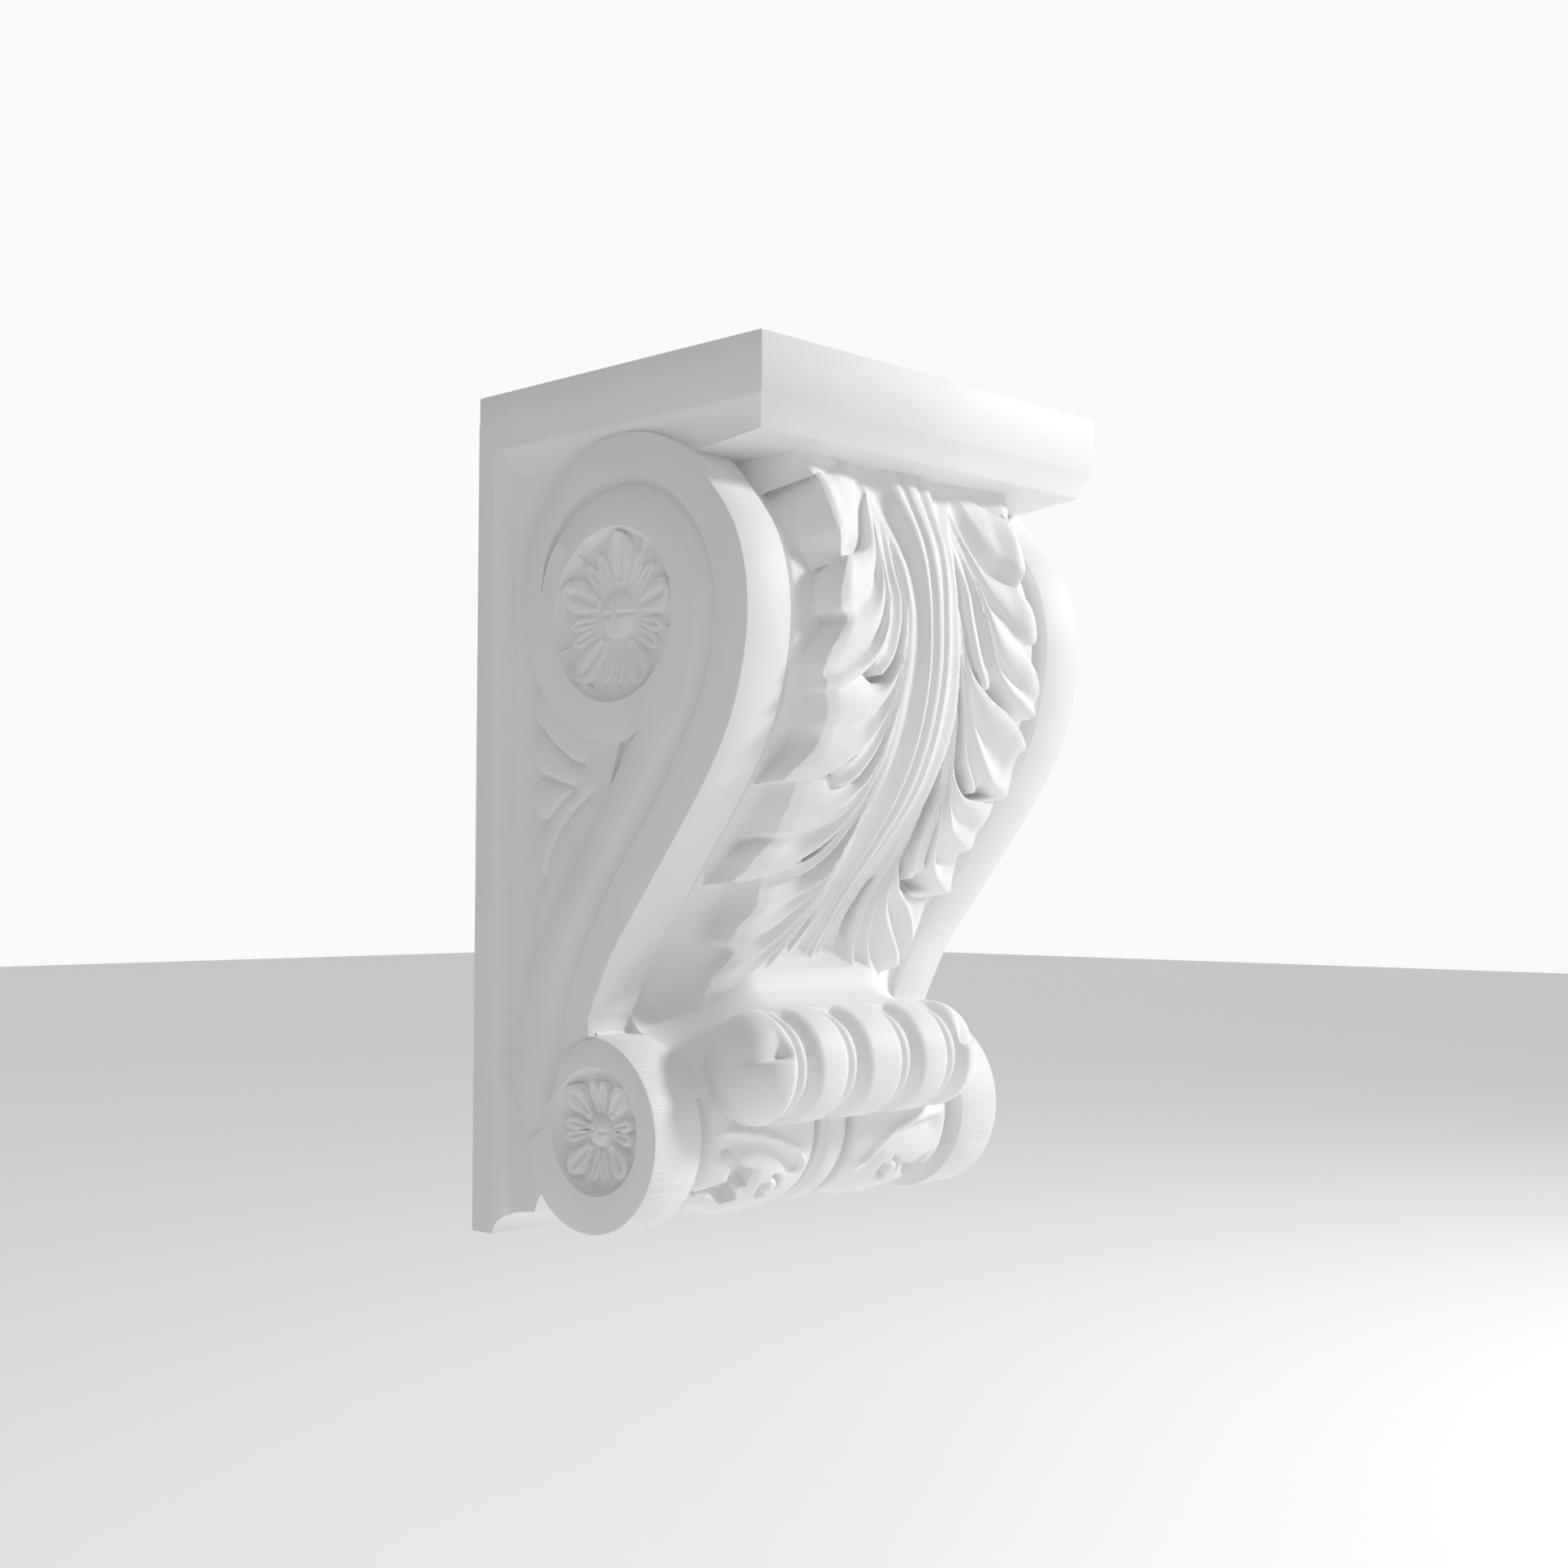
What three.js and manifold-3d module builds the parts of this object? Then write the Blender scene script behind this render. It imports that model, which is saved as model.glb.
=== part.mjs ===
// A cast scroll corbel: an abacus on an S-scroll console, with a rosette in the eye of each volute,
// an acanthus leaf down the front that ends in a rolled tip, and curled leaves between the lower drums.
// Millimetres, +Z up. The back lies on y = 0, the front faces -y, and the origin is the middle of the back.
// Inside the file a side point is (out, up): out from the wall, and up from the underside of the foot.

import * as THREE from 'three';
import { mergeVertices } from 'three/addons/utils/BufferGeometryUtils.js';
import Module from 'manifold-3d';

const wasm = await Module();
wasm.setup();

// Whole casting
const height = 300;
const width = 181;
const depth = 143;

// Abacus: a plain fascia over a cove on three sides, and a soffit that falls towards the wall
const fasciaHeight = 20;
const coveHeight = 10.4;
const coveInset = 4.7;
const coveSteps = 4;
const soffitFall = 7;

// Border against the wall, and the sunk panel beside the scroll
const borderThickness = 14;
const borderBevel = 2.4;
const bevelTurn = { across: 0.7, out: 0.35 };
const panelSunk = 4.7;

// Foot: a slab at the wall that turns up into the underside, and the cove behind the scroll
const footReach = 11;
const footHeight = 8.2;
const footRun = 11;
const footShelf = 29;
const footSteps = 4;
const undersideCove = 8;
const undersideRun = 4;
const undersideSunk = 8;

// Scroll: the side drawing is for a console as high as its soffit and as deep as its abacus
const drawnHeight = 269.6;
const drawnDepth = 143;
const upperEye = { out: 76.4, up: 223.8, radius: 52.6 };
const lowerEye = { out: 62.5, up: 39, radius: 33.3 };
const scrollSunk = 0.9;
const drumProud = 0.7;
const bandWidth = 19.8;
const scrollDrum = { from: 3, to: 264, steps: 15 };
const volute = { from: 182, to: 394, steps: 16 };
const proudDrum = { from: -4, to: 250, steps: 15 };
const channelDepth = 2.6;

// Front panel between the bands
const grooveWidth = 4.8;
const grooveDepth = 5.5;
const groundDepth = 3;
const drumGroundDepth = 6.5;
const underDrum = { from: 60, toSide: 235, toMiddle: 222, steps: 8 };

// Rosettes in the eyes of the volutes
const upperRosette = { out: 71.2, up: 215.3, radius: 30, depth: 6, knob: 8.8, petals: 5, start: 0 };
const lowerRosette = { out: 65.1, up: 40.5, radius: 21.2, depth: 5, knob: 4.9, petals: 4, start: 45 };
const petal = { length: 0.86, wide: 0.2, flute: 0.3 };
const smallPetal = { length: 0.84, wide: 0.11, rise: 0.8, places: [0.37, 0.63] };
const petalRise = 2.6;
const knobRise = 4.4;
const eyeSlope = 5;
const eyeSides = 20;

// Acanthus leaf on the front
const leafMargin = 5;
const leafThickness = 9;
const leafRun = 214;
const stemHalfWidth = 9.5;
const stemTop = { wider: 0.5, run: 70 };
const bladeShare = 0.72;
const hollowDepth = 1.4;
const fluteDepth = 1.3;

// Rolled tip of the leaf
const roll = { out: 98, up: 61, radius: 20 };
const rollMargin = 2;
const rollRibWidth = 25;
const rollGrooveDepth = 2.6;
const rollShoulder = 3;
const rollRings = 26;
const rollSides = 12;

// Curled leaves between the drums
const curlRib = 7;
const curlGap = 3;
const curlEyeRadius = 4.2;
const curlFold = 3.6;
const curlEdge = 3;
const curlNarrowing = { from: 0.35, rate: 2.2 };
const filletWidth = 4;
const filletInset = 6;
const eyePlace = { share: 0.42, degrees: 127 };
const slotPlace = { share: 0.5, reach: 0.4, degrees: 128, bow: 16, narrow: 3, flare: 5 };

const overlap = 1;

const white = new THREE.MeshStandardMaterial({ color: 0xf3f3f0, roughness: 0.62, metalness: 0 });

// Places that follow from the sizes
const halfWidth = width / 2;
const panelFace = halfWidth - panelSunk;
const scrollFace = halfWidth - scrollSunk;
const bandInner = scrollFace - bandWidth;
const groundHalf = bandInner - grooveWidth;
const leafHalf = groundHalf - leafMargin;
const rollHalf = groundHalf - rollMargin;
const soffitUp = height - fasciaHeight - coveHeight;
const rise = soffitUp / drawnHeight;
const reach = depth / drawnDepth;

// Solids

function toSolid(geometry) {
  geometry.deleteAttribute('normal');
  geometry.deleteAttribute('uv');
  const merged = mergeVertices(geometry, 1e-4);
  return new wasm.Manifold(new wasm.Mesh({
    numProp: 3,
    vertProperties: new Float32Array(merged.attributes.position.array),
    triVerts: new Uint32Array(merged.index.array),
  }));
}

function signedVolume(points, faces) {
  let sum = 0;
  const cross = new THREE.Vector3();
  for (const [a, b, c] of faces) sum += points[a].dot(cross.crossVectors(points[b], points[c]));
  return sum;
}

// A closed solid through rings with the same number of points, with a cap on each end.
function loft(rings) {
  const count = rings[0].length;
  const points = rings.flat();
  const faces = [];
  for (let r = 0; r + 1 < rings.length; r++) {
    for (let i = 0; i < count; i++) {
      const a = r * count + i;
      const b = r * count + ((i + 1) % count);
      faces.push([a, b, a + count], [b, b + count, a + count]);
    }
  }
  const last = (rings.length - 1) * count;
  for (let i = 1; i + 1 < count; i++) {
    faces.push([0, i + 1, i]);
    faces.push([last, last + i, last + i + 1]);
  }
  if (signedVolume(points, faces) < 0) faces.forEach((face) => face.reverse());
  const geometry = new THREE.BufferGeometry().setFromPoints(points);
  geometry.setIndex(faces.flat());
  return toSolid(geometry);
}

// The outline of (out, up) points, run along x from left to right.
function slab(outline, left, right) {
  const shape = new THREE.Shape(outline.map(([out, up]) => new THREE.Vector2(-out, up)));
  const geometry = new THREE.ExtrudeGeometry(shape, { depth: right - left, bevelEnabled: false });
  geometry.applyMatrix4(new THREE.Matrix4().makeBasis(
    new THREE.Vector3(0, 1, 0),
    new THREE.Vector3(0, 0, 1),
    new THREE.Vector3(1, 0, 0),
  ));
  geometry.translate(left, 0, 0);
  return toSolid(geometry);
}

function joined(solids) {
  return solids.reduce((sum, solid) => sum.add(solid));
}

function bothSides(solid) {
  return solid.add(solid.mirror([1, 0, 0]));
}

// Lines and curves

// A point of the side drawing at the size of this casting
function drawn([out, up]) {
  return [out * reach, up * rise];
}

function drawnCurve(points) {
  return new THREE.SplineCurve(points.map((point) => new THREE.Vector2(...drawn(point))));
}

function spline(points, count) {
  return drawnCurve(points).getSpacedPoints(count).map((p) => [p.x, p.y]);
}

// Degrees count from straight up towards the front.
function onCircle(eye, degrees, radius = eye.radius) {
  const angle = THREE.MathUtils.degToRad(degrees);
  return drawn([eye.out + radius * Math.sin(angle), eye.up + radius * Math.cos(angle)]);
}

function arc(eye, from, to, count, radius = eye.radius) {
  return Array.from({ length: count + 1 }, (_, i) => onCircle(eye, from + ((to - from) * i) / count, radius));
}

function tableValue(table, at) {
  const next = Math.max(1, table.findIndex(([place]) => place >= at));
  const [[a, low], [b, high]] = at > table.at(-1)[0] ? table.slice(-2) : table.slice(next - 1, next + 1);
  return low + ((high - low) * (at - a)) / (b - a);
}

// Front of the scroll from the soffit down to the waist

const frontLine = [
  [106.5, 267.6], [115, 259.2], [130.8, 238.3], [136.3, 213.3], [131.7, 185],
  [119, 160], [89.1, 121.2], [73.6, 101.6], [64, 84.5], [60.5, 77],
];
const frontCurve = drawnCurve(frontLine);
const frontLength = frontCurve.getLength();

// A point of the front: x across, run down the curve from the soffit, lift out of its face.
function onFront(x, run, lift) {
  const share = THREE.MathUtils.clamp(run / frontLength, 0, 1);
  const point = frontCurve.getPointAt(share);
  const along = frontCurve.getTangentAt(share);
  const past = run - share * frontLength;
  const out = point.x + along.x * past - along.y * lift;
  const up = point.y + along.y * past + along.x * lift;
  return new THREE.Vector3(x, -out, up);
}

const frontSteps = 15;

function frontOutline(sunk, count) {
  return Array.from({ length: count + 1 }, (_, i) => {
    const point = onFront(0, (frontLength * i) / count, -sunk);
    return [-point.y, point.z];
  });
}

// Abacus

function abacus() {
  const levels = [[height, 0], [height - fasciaHeight, 0]];
  for (let i = 1; i <= coveSteps; i++) {
    const angle = (Math.PI / 2) * (i / coveSteps);
    levels.push([
      height - fasciaHeight - coveHeight * (1 - Math.cos(angle)),
      coveInset * Math.sin(angle),
    ]);
  }
  const rings = levels.map(([up, inset]) => [
    new THREE.Vector3(-halfWidth + inset, 0, up),
    new THREE.Vector3(halfWidth - inset, 0, up),
    new THREE.Vector3(halfWidth - inset, inset - depth, up),
    new THREE.Vector3(-halfWidth + inset, inset - depth, up),
  ]);
  const [eyeOut] = drawn([upperEye.out, upperEye.up]);
  const soffit = slab([
    [0, soffitUp + overlap],
    [depth - coveInset, soffitUp + overlap],
    [depth - coveInset, soffitUp],
    [eyeOut, soffitUp - soffitFall],
    [0, soffitUp - soffitFall],
  ], -panelFace, panelFace);
  return loft(rings).add(soffit);
}

// Border that runs down the wall on each side, with a bevelled inner edge

function footCavetto() {
  return Array.from({ length: footSteps + 1 }, (_, step) => {
    const angle = (Math.PI / 2) * (step / footSteps);
    return [footReach + footRun * (1 - Math.cos(angle)), footHeight * Math.sin(angle)];
  });
}

function border() {
  const bevelled = borderThickness + borderBevel;
  const ring = (up) => [
    new THREE.Vector3(panelFace - overlap, 0, up),
    new THREE.Vector3(halfWidth, 0, up),
    new THREE.Vector3(halfWidth, -borderThickness, up),
    new THREE.Vector3(
      halfWidth - panelSunk * bevelTurn.across,
      -borderThickness - borderBevel * bevelTurn.out,
      up,
    ),
    new THREE.Vector3(panelFace, -bevelled, up),
    new THREE.Vector3(panelFace - overlap, -bevelled, up),
  ];
  const aboveFoot = slab([[0, 0], ...footCavetto(), [footShelf, height], [0, height]], -halfWidth, halfWidth);
  return bothSides(loft([ring(0), ring(height - fasciaHeight / 2)])).intersect(aboveFoot);
}

// Body behind the bands: from the wall to the ground of the front panel

function body() {
  const underside = footHeight + overlap;
  const coveTop = footHeight + undersideCove;
  const core = (sunk, cove) => [
    [0, 0],
    ...footCavetto(),
    [footShelf, underside],
    ...(cove ? [
      [footShelf + undersideRun * 0.4, (underside + coveTop) / 2],
      [footShelf + undersideRun, coveTop],
    ] : []),
    ...arc(lowerEye, cove ? underDrum.toSide : underDrum.toMiddle, underDrum.from, underDrum.steps,
      lowerEye.radius - drumGroundDepth),
    ...frontOutline(sunk, frontSteps).reverse(),
    [drawn([upperEye.out, upperEye.up])[0], height - fasciaHeight],
    [0, height - fasciaHeight],
  ];
  const undersideHalf = panelFace - undersideSunk;
  return joined([
    slab(core(grooveDepth, true), -panelFace, panelFace),
    slab(core(grooveDepth, false), -undersideHalf, undersideHalf),
    slab(core(groundDepth, false), -groundHalf, groundHalf),
  ]);
}

// Scroll band of one side, with the drum of the lower volute

const backLine = [[28.8, 36], [23.2, 58], [28.6, 90], [46.1, 119.1], [64.2, 146.1], [80.5, 170]];

const voluteTail = [84.6, 174.8];
const drumLine = [[38.4, 40], [43, 56], [52.5, 67.6]];

function scrollOutline() {
  return [
    ...frontOutline(0, frontSteps),
    ...arc(lowerEye, scrollDrum.from, scrollDrum.to, scrollDrum.steps),
    ...spline(backLine, 8).slice(1),
    drawn(voluteTail),
    ...arc(upperEye, volute.from, volute.to, volute.steps),
  ];
}

function drumOutline() {
  return [...arc(lowerEye, proudDrum.from, proudDrum.to, proudDrum.steps), ...drumLine.map(drawn)];
}

function scroll() {
  return slab(scrollOutline(), bandInner, scrollFace)
    .add(slab(drumOutline(), bandInner, scrollFace + drumProud));
}

// Channel: a line of its sharp outer edge, and of the soft edge where it runs out

const channelSharp = [
  [34.6, 228], [40, 244.5], [50, 254.6], [64, 260.6], [80, 261.6], [98.3, 255.4], [115, 238.3], [122, 214.2],
  [116.7, 188.3], [100, 160], [73.4, 125.2], [57.9, 100], [50.7, 83.6], [47.6, 65],
];
const channelSoft = [
  [35.4, 228], [42.5, 242], [52, 250.6], [65, 255.6], [80, 256], [94, 248.5], [107, 234], [111.8, 213],
  [106.5, 190], [89.5, 164], [62, 127], [44, 100], [37.5, 82.1], [35.4, 61],
];

function channel() {
  const sharp = spline(channelSharp, 18);
  const soft = spline(channelSoft, 18);
  return loft(sharp.map(([outA, upA], i) => {
    const [outB, upB] = soft[i];
    const at = (share, sunk) => new THREE.Vector3(
      scrollFace - sunk,
      -(outA + (outB - outA) * share),
      upA + (upB - upA) * share,
    );
    return [
      at(0, -overlap),
      at(0, channelDepth * 0.8),
      at(0.25, channelDepth),
      at(0.6, channelDepth * 0.6),
      at(1, 0),
      at(1, -overlap),
    ];
  }));
}

// A finger of a leaf or a petal, from root to tip, with steep sides and a round end.
// Place turns (across, along, lift) into a point of the surface that carries it.

const leafStations = [0, 0.35, 0.65, 0.88, 1];
const petalStations = [0, 0.5, 0.86, 1];
const sliverStations = [0, 0.72, 1];
const fluted = [[-0.9, 0.3], [0, 1], [0.9, 0.3]];
const plain = [[-0.7, 0.2], [0.7, 0.2]];

function fingerWidth(share, root) {
  const swell = Math.min(1, root + (1 - root) * (share / 0.55));
  const end = share > 0.62 ? Math.sqrt(Math.max(0.02, 1 - ((share - 0.62) / 0.385) ** 2)) : 1;
  return swell * end;
}

function finger({ place, spine, wide, base, crown, flute, root = 0.45, stations, section }) {
  const curve = new THREE.QuadraticBezierCurve(...spine.map(([a, b]) => new THREE.Vector2(a, b)));
  return loft(stations.map((share) => {
    const middle = curve.getPoint(share);
    const tangent = curve.getTangent(share);
    const spread = wide * fingerWidth(share, root);
    const top = crown(middle.y, share);
    const at = (side, lift) => place(
      middle.x - tangent.y * side * spread,
      middle.y + tangent.x * side * spread,
      lift,
    );
    return [
      at(-1, base),
      ...section.map(([side, sunk]) => at(side, top - sunk * flute)),
      at(1, base),
    ];
  }));
}

// Rosette in the eye of a volute: large petals with a pair of small ones between each two, round a knob

function rosette({ out, up, radius, depth: sunk, knob, petals, start }) {
  const floor = scrollFace - sunk;
  const [eyeOut, eyeUp] = drawn([out, up]);
  const place = (across, along, lift) => new THREE.Vector3(floor + lift, -(eyeOut + across), eyeUp + along);
  const addPetal = (degrees, length, wide, lift, stations, section) => {
    const angle = THREE.MathUtils.degToRad(degrees);
    const at = (distance) => [Math.sin(angle) * distance, Math.cos(angle) * distance];
    return finger({
      place,
      spine: [at(knob * 0.8), at((knob + length) / 2), at(length)],
      wide,
      base: -overlap,
      crown: (_, share) => lift * (0.6 + 0.4 * share),
      flute: lift * petal.flute,
      stations,
      section,
    });
  };
  const step = 360 / petals;
  const length = radius * petal.length;
  const parts = [];
  for (let i = 0; i < petals; i++) {
    const turn = start + i * step;
    parts.push(addPetal(turn, length, length * petal.wide, petalRise, petalStations, fluted));
    for (const between of smallPetal.places) {
      const angle = turn + between * step;
      const small = length * smallPetal.length;
      const lift = petalRise * smallPetal.rise;
      parts.push(addPetal(angle, small, length * smallPetal.wide, lift, sliverStations, plain));
    }
  }
  const dome = new THREE.SphereGeometry(knob, 8, 6);
  dome.scale(knobRise / knob, 1, 1);
  dome.translate(floor, -eyeOut, eyeUp);
  return joined([...parts, toSolid(dome)]);
}

function eyeRecess({ out, up, radius, depth: sunk }) {
  const [eyeOut, eyeUp] = drawn([out, up]);
  const ring = (x, r) => Array.from({ length: eyeSides }, (_, i) => {
    const angle = (2 * Math.PI * i) / eyeSides;
    return new THREE.Vector3(x, -eyeOut - r * Math.sin(angle), eyeUp + r * Math.cos(angle));
  });
  return loft([
    ring(scrollFace + drumProud + overlap, radius + eyeSlope * 0.1),
    ring(scrollFace - sunk * 0.4, radius - eyeSlope * 0.3),
    ring(scrollFace - sunk, radius - eyeSlope * 0.9),
  ]);
}

// Low leaf on the sunk panel behind the scroll

const panelFingers = [
  { spine: [[66, 168], [44, 169], [32, 187]], wide: 6.5, lift: 1.6 },
  { spine: [[66, 160], [46, 160], [30.5, 173]], wide: 6.5, lift: 2 },
  { spine: [[60, 152], [45, 155], [29, 154]], wide: 5.5, lift: 1.7 },
  { spine: [[58, 146], [42, 144], [33.5, 129]], wide: 6, lift: 2 },
  { spine: [[48, 130], [37, 126], [33, 106]], wide: 5.5, lift: 1.6 },
];

function panelLeaf() {
  const place = (out, up, lift) => new THREE.Vector3(panelFace + lift, -out, up);
  return joined(panelFingers.map(({ spine, wide, lift }) => finger({
    place,
    spine: spine.map(drawn),
    wide,
    base: -overlap,
    crown: () => lift,
    flute: 0.5,
    root: 0.7,
    stations: petalStations,
    section: plain,
  })));
}

// Acanthus leaf: how far its face stands out of the front, by the run down from the soffit

const leafRise = [[-6, 22], [0, 18], [20, 12], [40, 8], [60, 6.5], [80, 7], [100, 8], [120, 9.5],
  [140, 11], [170, 11.5], [200, 10], [230, 12]];

function leafFace(run) {
  return tableValue(leafRise, run);
}

// The stem has three round ribs. It is wider where it comes out from under the soffit.
const stemSection = [[-1, -2.2], [-0.72, 0.3], [-0.4, -0.9], [0, 0.7], [0.4, -0.9], [0.72, 0.3], [1, -2.2]];
const leafTop = -4;

function downLeaf(count, section) {
  const step = (leafRun - leafTop) / count;
  return loft(Array.from({ length: count + 1 }, (_, i) => section(leafTop + step * i)));
}

function stem() {
  return downLeaf(10, (run) => {
    const face = leafFace(run);
    const half = stemHalfWidth * (1 + stemTop.wider * Math.max(0, 1 - run / stemTop.run));
    return [
      onFront(-half, run, -groundDepth - overlap),
      ...stemSection.map(([side, lift]) => onFront(side * half, run, face + lift)),
      onFront(half, run, -groundDepth - overlap),
    ];
  });
}

// The thin blade that joins the fingers behind their slots
function blade() {
  const half = leafHalf * bladeShare;
  return downLeaf(8, (run) => {
    const face = leafFace(run) - leafThickness / 2;
    return [
      onFront(-half, run, -groundDepth - overlap),
      onFront(-half, run, face),
      onFront(half, run, face),
      onFront(half, run, -groundDepth - overlap),
    ];
  });
}

// Each finger: its root, bend and tip as shares of the leaf's half width and runs down it,
// its half width, and how far its tip curls out
const leafFingers = [
  { spine: [[0.17, -8], [0.57, 0], [0.83, 40]], wide: 13, curl: 3 },
  { spine: [[0.18, 14], [0.43, 34], [0.88, 64]], wide: 8, curl: 1 },
  { spine: [[0.2, 26], [0.4, 66], [0.99, 91]], wide: 9, curl: 1.5 },
  { spine: [[0.2, 66], [0.43, 88], [0.96, 104]], wide: 6.5, curl: 0.5 },
  { spine: [[0.2, 74], [0.43, 106], [1, 127]], wide: 8.5, curl: 1.5 },
  { spine: [[0.2, 104], [0.4, 130], [0.96, 149]], wide: 7.5, curl: 0.5 },
  { spine: [[0.2, 116], [0.4, 152], [1, 173]], wide: 9, curl: 1.5 },
  { spine: [[0.15, 146], [0.3, 186], [0.95, 203]], wide: 9.5, curl: 1 },
];

function leaf() {
  const fingers = leafFingers.map(({ spine, wide, curl }) => finger({
    place: onFront,
    spine: spine.map(([share, run]) => [share * leafHalf, run]),
    wide,
    base: -groundDepth - overlap,
    crown: (run, share) => leafFace(run) - hollowDepth * Math.sin(Math.PI * share) + curl * share,
    flute: fluteDepth,
    stations: leafStations,
    section: fluted,
  }));
  return joined([blade(), stem(), bothSides(joined(fingers))]);
}

// Rolled tip: ribs turned round a line across the front, with full round ends

function rollRadius(x) {
  const place = Math.abs(x);
  const end = rollRibWidth * 1.5;
  const rib = Math.round(place / rollRibWidth) * rollRibWidth;
  const inRib = Math.abs(place - rib) / (rollRibWidth / 2);
  const offset = place < end ? inRib : Math.max(0, 1 - (place - end) / rollShoulder);
  const groove = rollGrooveDepth * offset ** 4;
  const round = Math.max(0, (place - end) / (rollHalf - end));
  return (roll.radius - groove) * Math.sqrt(Math.max(0.03, 1 - round ** 2.6));
}

function rolledTip() {
  return loft(Array.from({ length: rollRings + 1 }, (_, i) => {
    const x = rollHalf * Math.sin((Math.PI / 2) * ((2 * i) / rollRings - 1));
    return Array.from({ length: rollSides }, (__, k) => {
      const [out, up] = onCircle(roll, (360 * k) / rollSides, rollRadius(x));
      return new THREE.Vector3(x, -out, up);
    });
  }));
}

// The leaf bends forward into the roll
const neckLine = [[84, 107], [80.5, 94], [84.5, 84.5], [96, 80.5]];

function rollNeck() {
  return slab([
    drawn([52, 107]),
    ...spline(neckLine, 6),
    onCircle(roll, 0, 0),
    onCircle(roll, 200, roll.radius * 0.75),
    onCircle(lowerEye, 0, 0),
  ], -leafHalf + leafMargin, leafHalf - leafMargin);
}

// Curled leaves between the drums: a middle rib, and on each side of it half a leaf with a raised
// edge fillet, a pierced slot and a bead

const curlFrom = 62;
const curlTo = 186;

function onDrum(x, degrees, lift) {
  const [out, up] = onCircle(lowerEye, degrees, lowerEye.radius + lift);
  return new THREE.Vector3(x, -out, up);
}

function roundDrum(count, section) {
  return loft(Array.from({ length: count + 1 }, (_, i) => {
    const share = i / count;
    return section(share).map(([x, lift]) => onDrum(x, curlFrom + (curlTo - curlFrom) * share, lift));
  }));
}

function curls() {
  const floor = -drumGroundDepth - overlap;
  const inner = curlRib + curlGap;
  const span = groundHalf + curlEdge - overlap - inner;
  const rib = roundDrum(8, () => [
    [-curlRib - 1, floor], [-curlRib, -1], [-curlRib * 0.5, 0.2],
    [curlRib * 0.5, 0.2], [curlRib, -1], [curlRib + 1, floor],
  ]);
  const half = roundDrum(8, (share) => {
    const narrowing = curlNarrowing.rate * Math.max(0, share - curlNarrowing.from) ** 2;
    const outer = inner + span * Math.sqrt(Math.max(0.04, 1 - narrowing));
    const middle = (inner + outer) / 2;
    return [
      [inner, floor], [inner + 1, -curlFold], [middle - 6, -1.2],
      [middle + 6, -1], [outer - 2, -curlEdge], [outer, floor],
    ];
  });
  const fillet = roundDrum(6, (share) => {
    const x = inner + filletInset + span * 0.7 * Math.max(0, 0.55 - share);
    return [
      [x, -drumGroundDepth], [x + filletWidth / 4, 0.2],
      [x + (filletWidth * 3) / 4, -0.2], [x + filletWidth, -drumGroundDepth],
    ];
  });
  const bead = new THREE.SphereGeometry(curlEyeRadius, 8, 6);
  bead.translate(...onDrum(inner + span * eyePlace.share, eyePlace.degrees, -curlGap).toArray());
  const slot = loft([0, 0.35, 0.7, 1].map((share) => {
    const x = inner + span * (slotPlace.share + slotPlace.reach * share);
    const angle = slotPlace.degrees - slotPlace.bow * Math.sin(share * Math.PI);
    const spread = slotPlace.narrow + slotPlace.flare * share;
    return [
      onDrum(x, angle - spread, overlap * 3),
      onDrum(x, angle + spread, overlap * 3),
      onDrum(x, angle + spread, -drumGroundDepth + 0.6),
      onDrum(x, angle - spread, -drumGroundDepth + 0.6),
    ];
  }));
  return rib.add(bothSides(half.add(fillet).subtract(slot).add(toSolid(bead))));
}

// Whole casting

function casting() {
  const sideCuts = joined([channel(), eyeRecess(upperRosette), eyeRecess(lowerRosette)]);
  const sideRaised = joined([rosette(upperRosette), rosette(lowerRosette)]);
  const shell = joined([body(), bothSides(scroll()), bothSides(panelLeaf()), border()]);
  return shell
    .subtract(bothSides(sideCuts))
    .add(bothSides(sideRaised))
    .add(leaf())
    .add(rolledTip())
    .add(rollNeck())
    .add(curls())
    .add(abacus());
}

function toGeometry(solid) {
  const { vertProperties, triVerts } = solid.getMesh();
  const geometry = new THREE.BufferGeometry();
  geometry.setAttribute('position', new THREE.BufferAttribute(new Float32Array(vertProperties), 3));
  geometry.setIndex(new THREE.BufferAttribute(new Uint32Array(triVerts), 1));
  geometry.computeVertexNormals();
  return geometry;
}

const corbel = new THREE.Mesh(toGeometry(casting()), white);
corbel.name = 'corbel';
corbel.position.z = -height / 2;

const model = new THREE.Group();
model.add(corbel);

export default model;
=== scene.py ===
import math

import bpy
import numpy as np
from mathutils import Matrix, Vector


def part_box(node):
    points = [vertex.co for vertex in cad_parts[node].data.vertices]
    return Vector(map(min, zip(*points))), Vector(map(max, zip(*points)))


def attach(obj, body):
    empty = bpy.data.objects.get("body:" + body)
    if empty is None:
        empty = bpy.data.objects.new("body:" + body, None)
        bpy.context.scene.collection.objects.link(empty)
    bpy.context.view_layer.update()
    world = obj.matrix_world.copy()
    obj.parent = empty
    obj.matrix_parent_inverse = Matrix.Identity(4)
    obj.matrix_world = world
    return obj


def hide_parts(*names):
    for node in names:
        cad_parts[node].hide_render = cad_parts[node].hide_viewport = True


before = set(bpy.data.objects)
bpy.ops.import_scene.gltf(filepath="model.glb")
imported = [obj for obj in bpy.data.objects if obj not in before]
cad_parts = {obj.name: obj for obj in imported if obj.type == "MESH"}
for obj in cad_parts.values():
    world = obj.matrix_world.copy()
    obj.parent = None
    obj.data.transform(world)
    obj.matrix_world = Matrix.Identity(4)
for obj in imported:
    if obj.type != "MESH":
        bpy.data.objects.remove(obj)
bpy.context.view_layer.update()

# Body of the casting
# The corbel is one casting of dense foam, poured in a mould and primed white. Its body is the plain mass
# behind the ornament: a sunk panel on each side, with its flat back against the wall.

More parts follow.
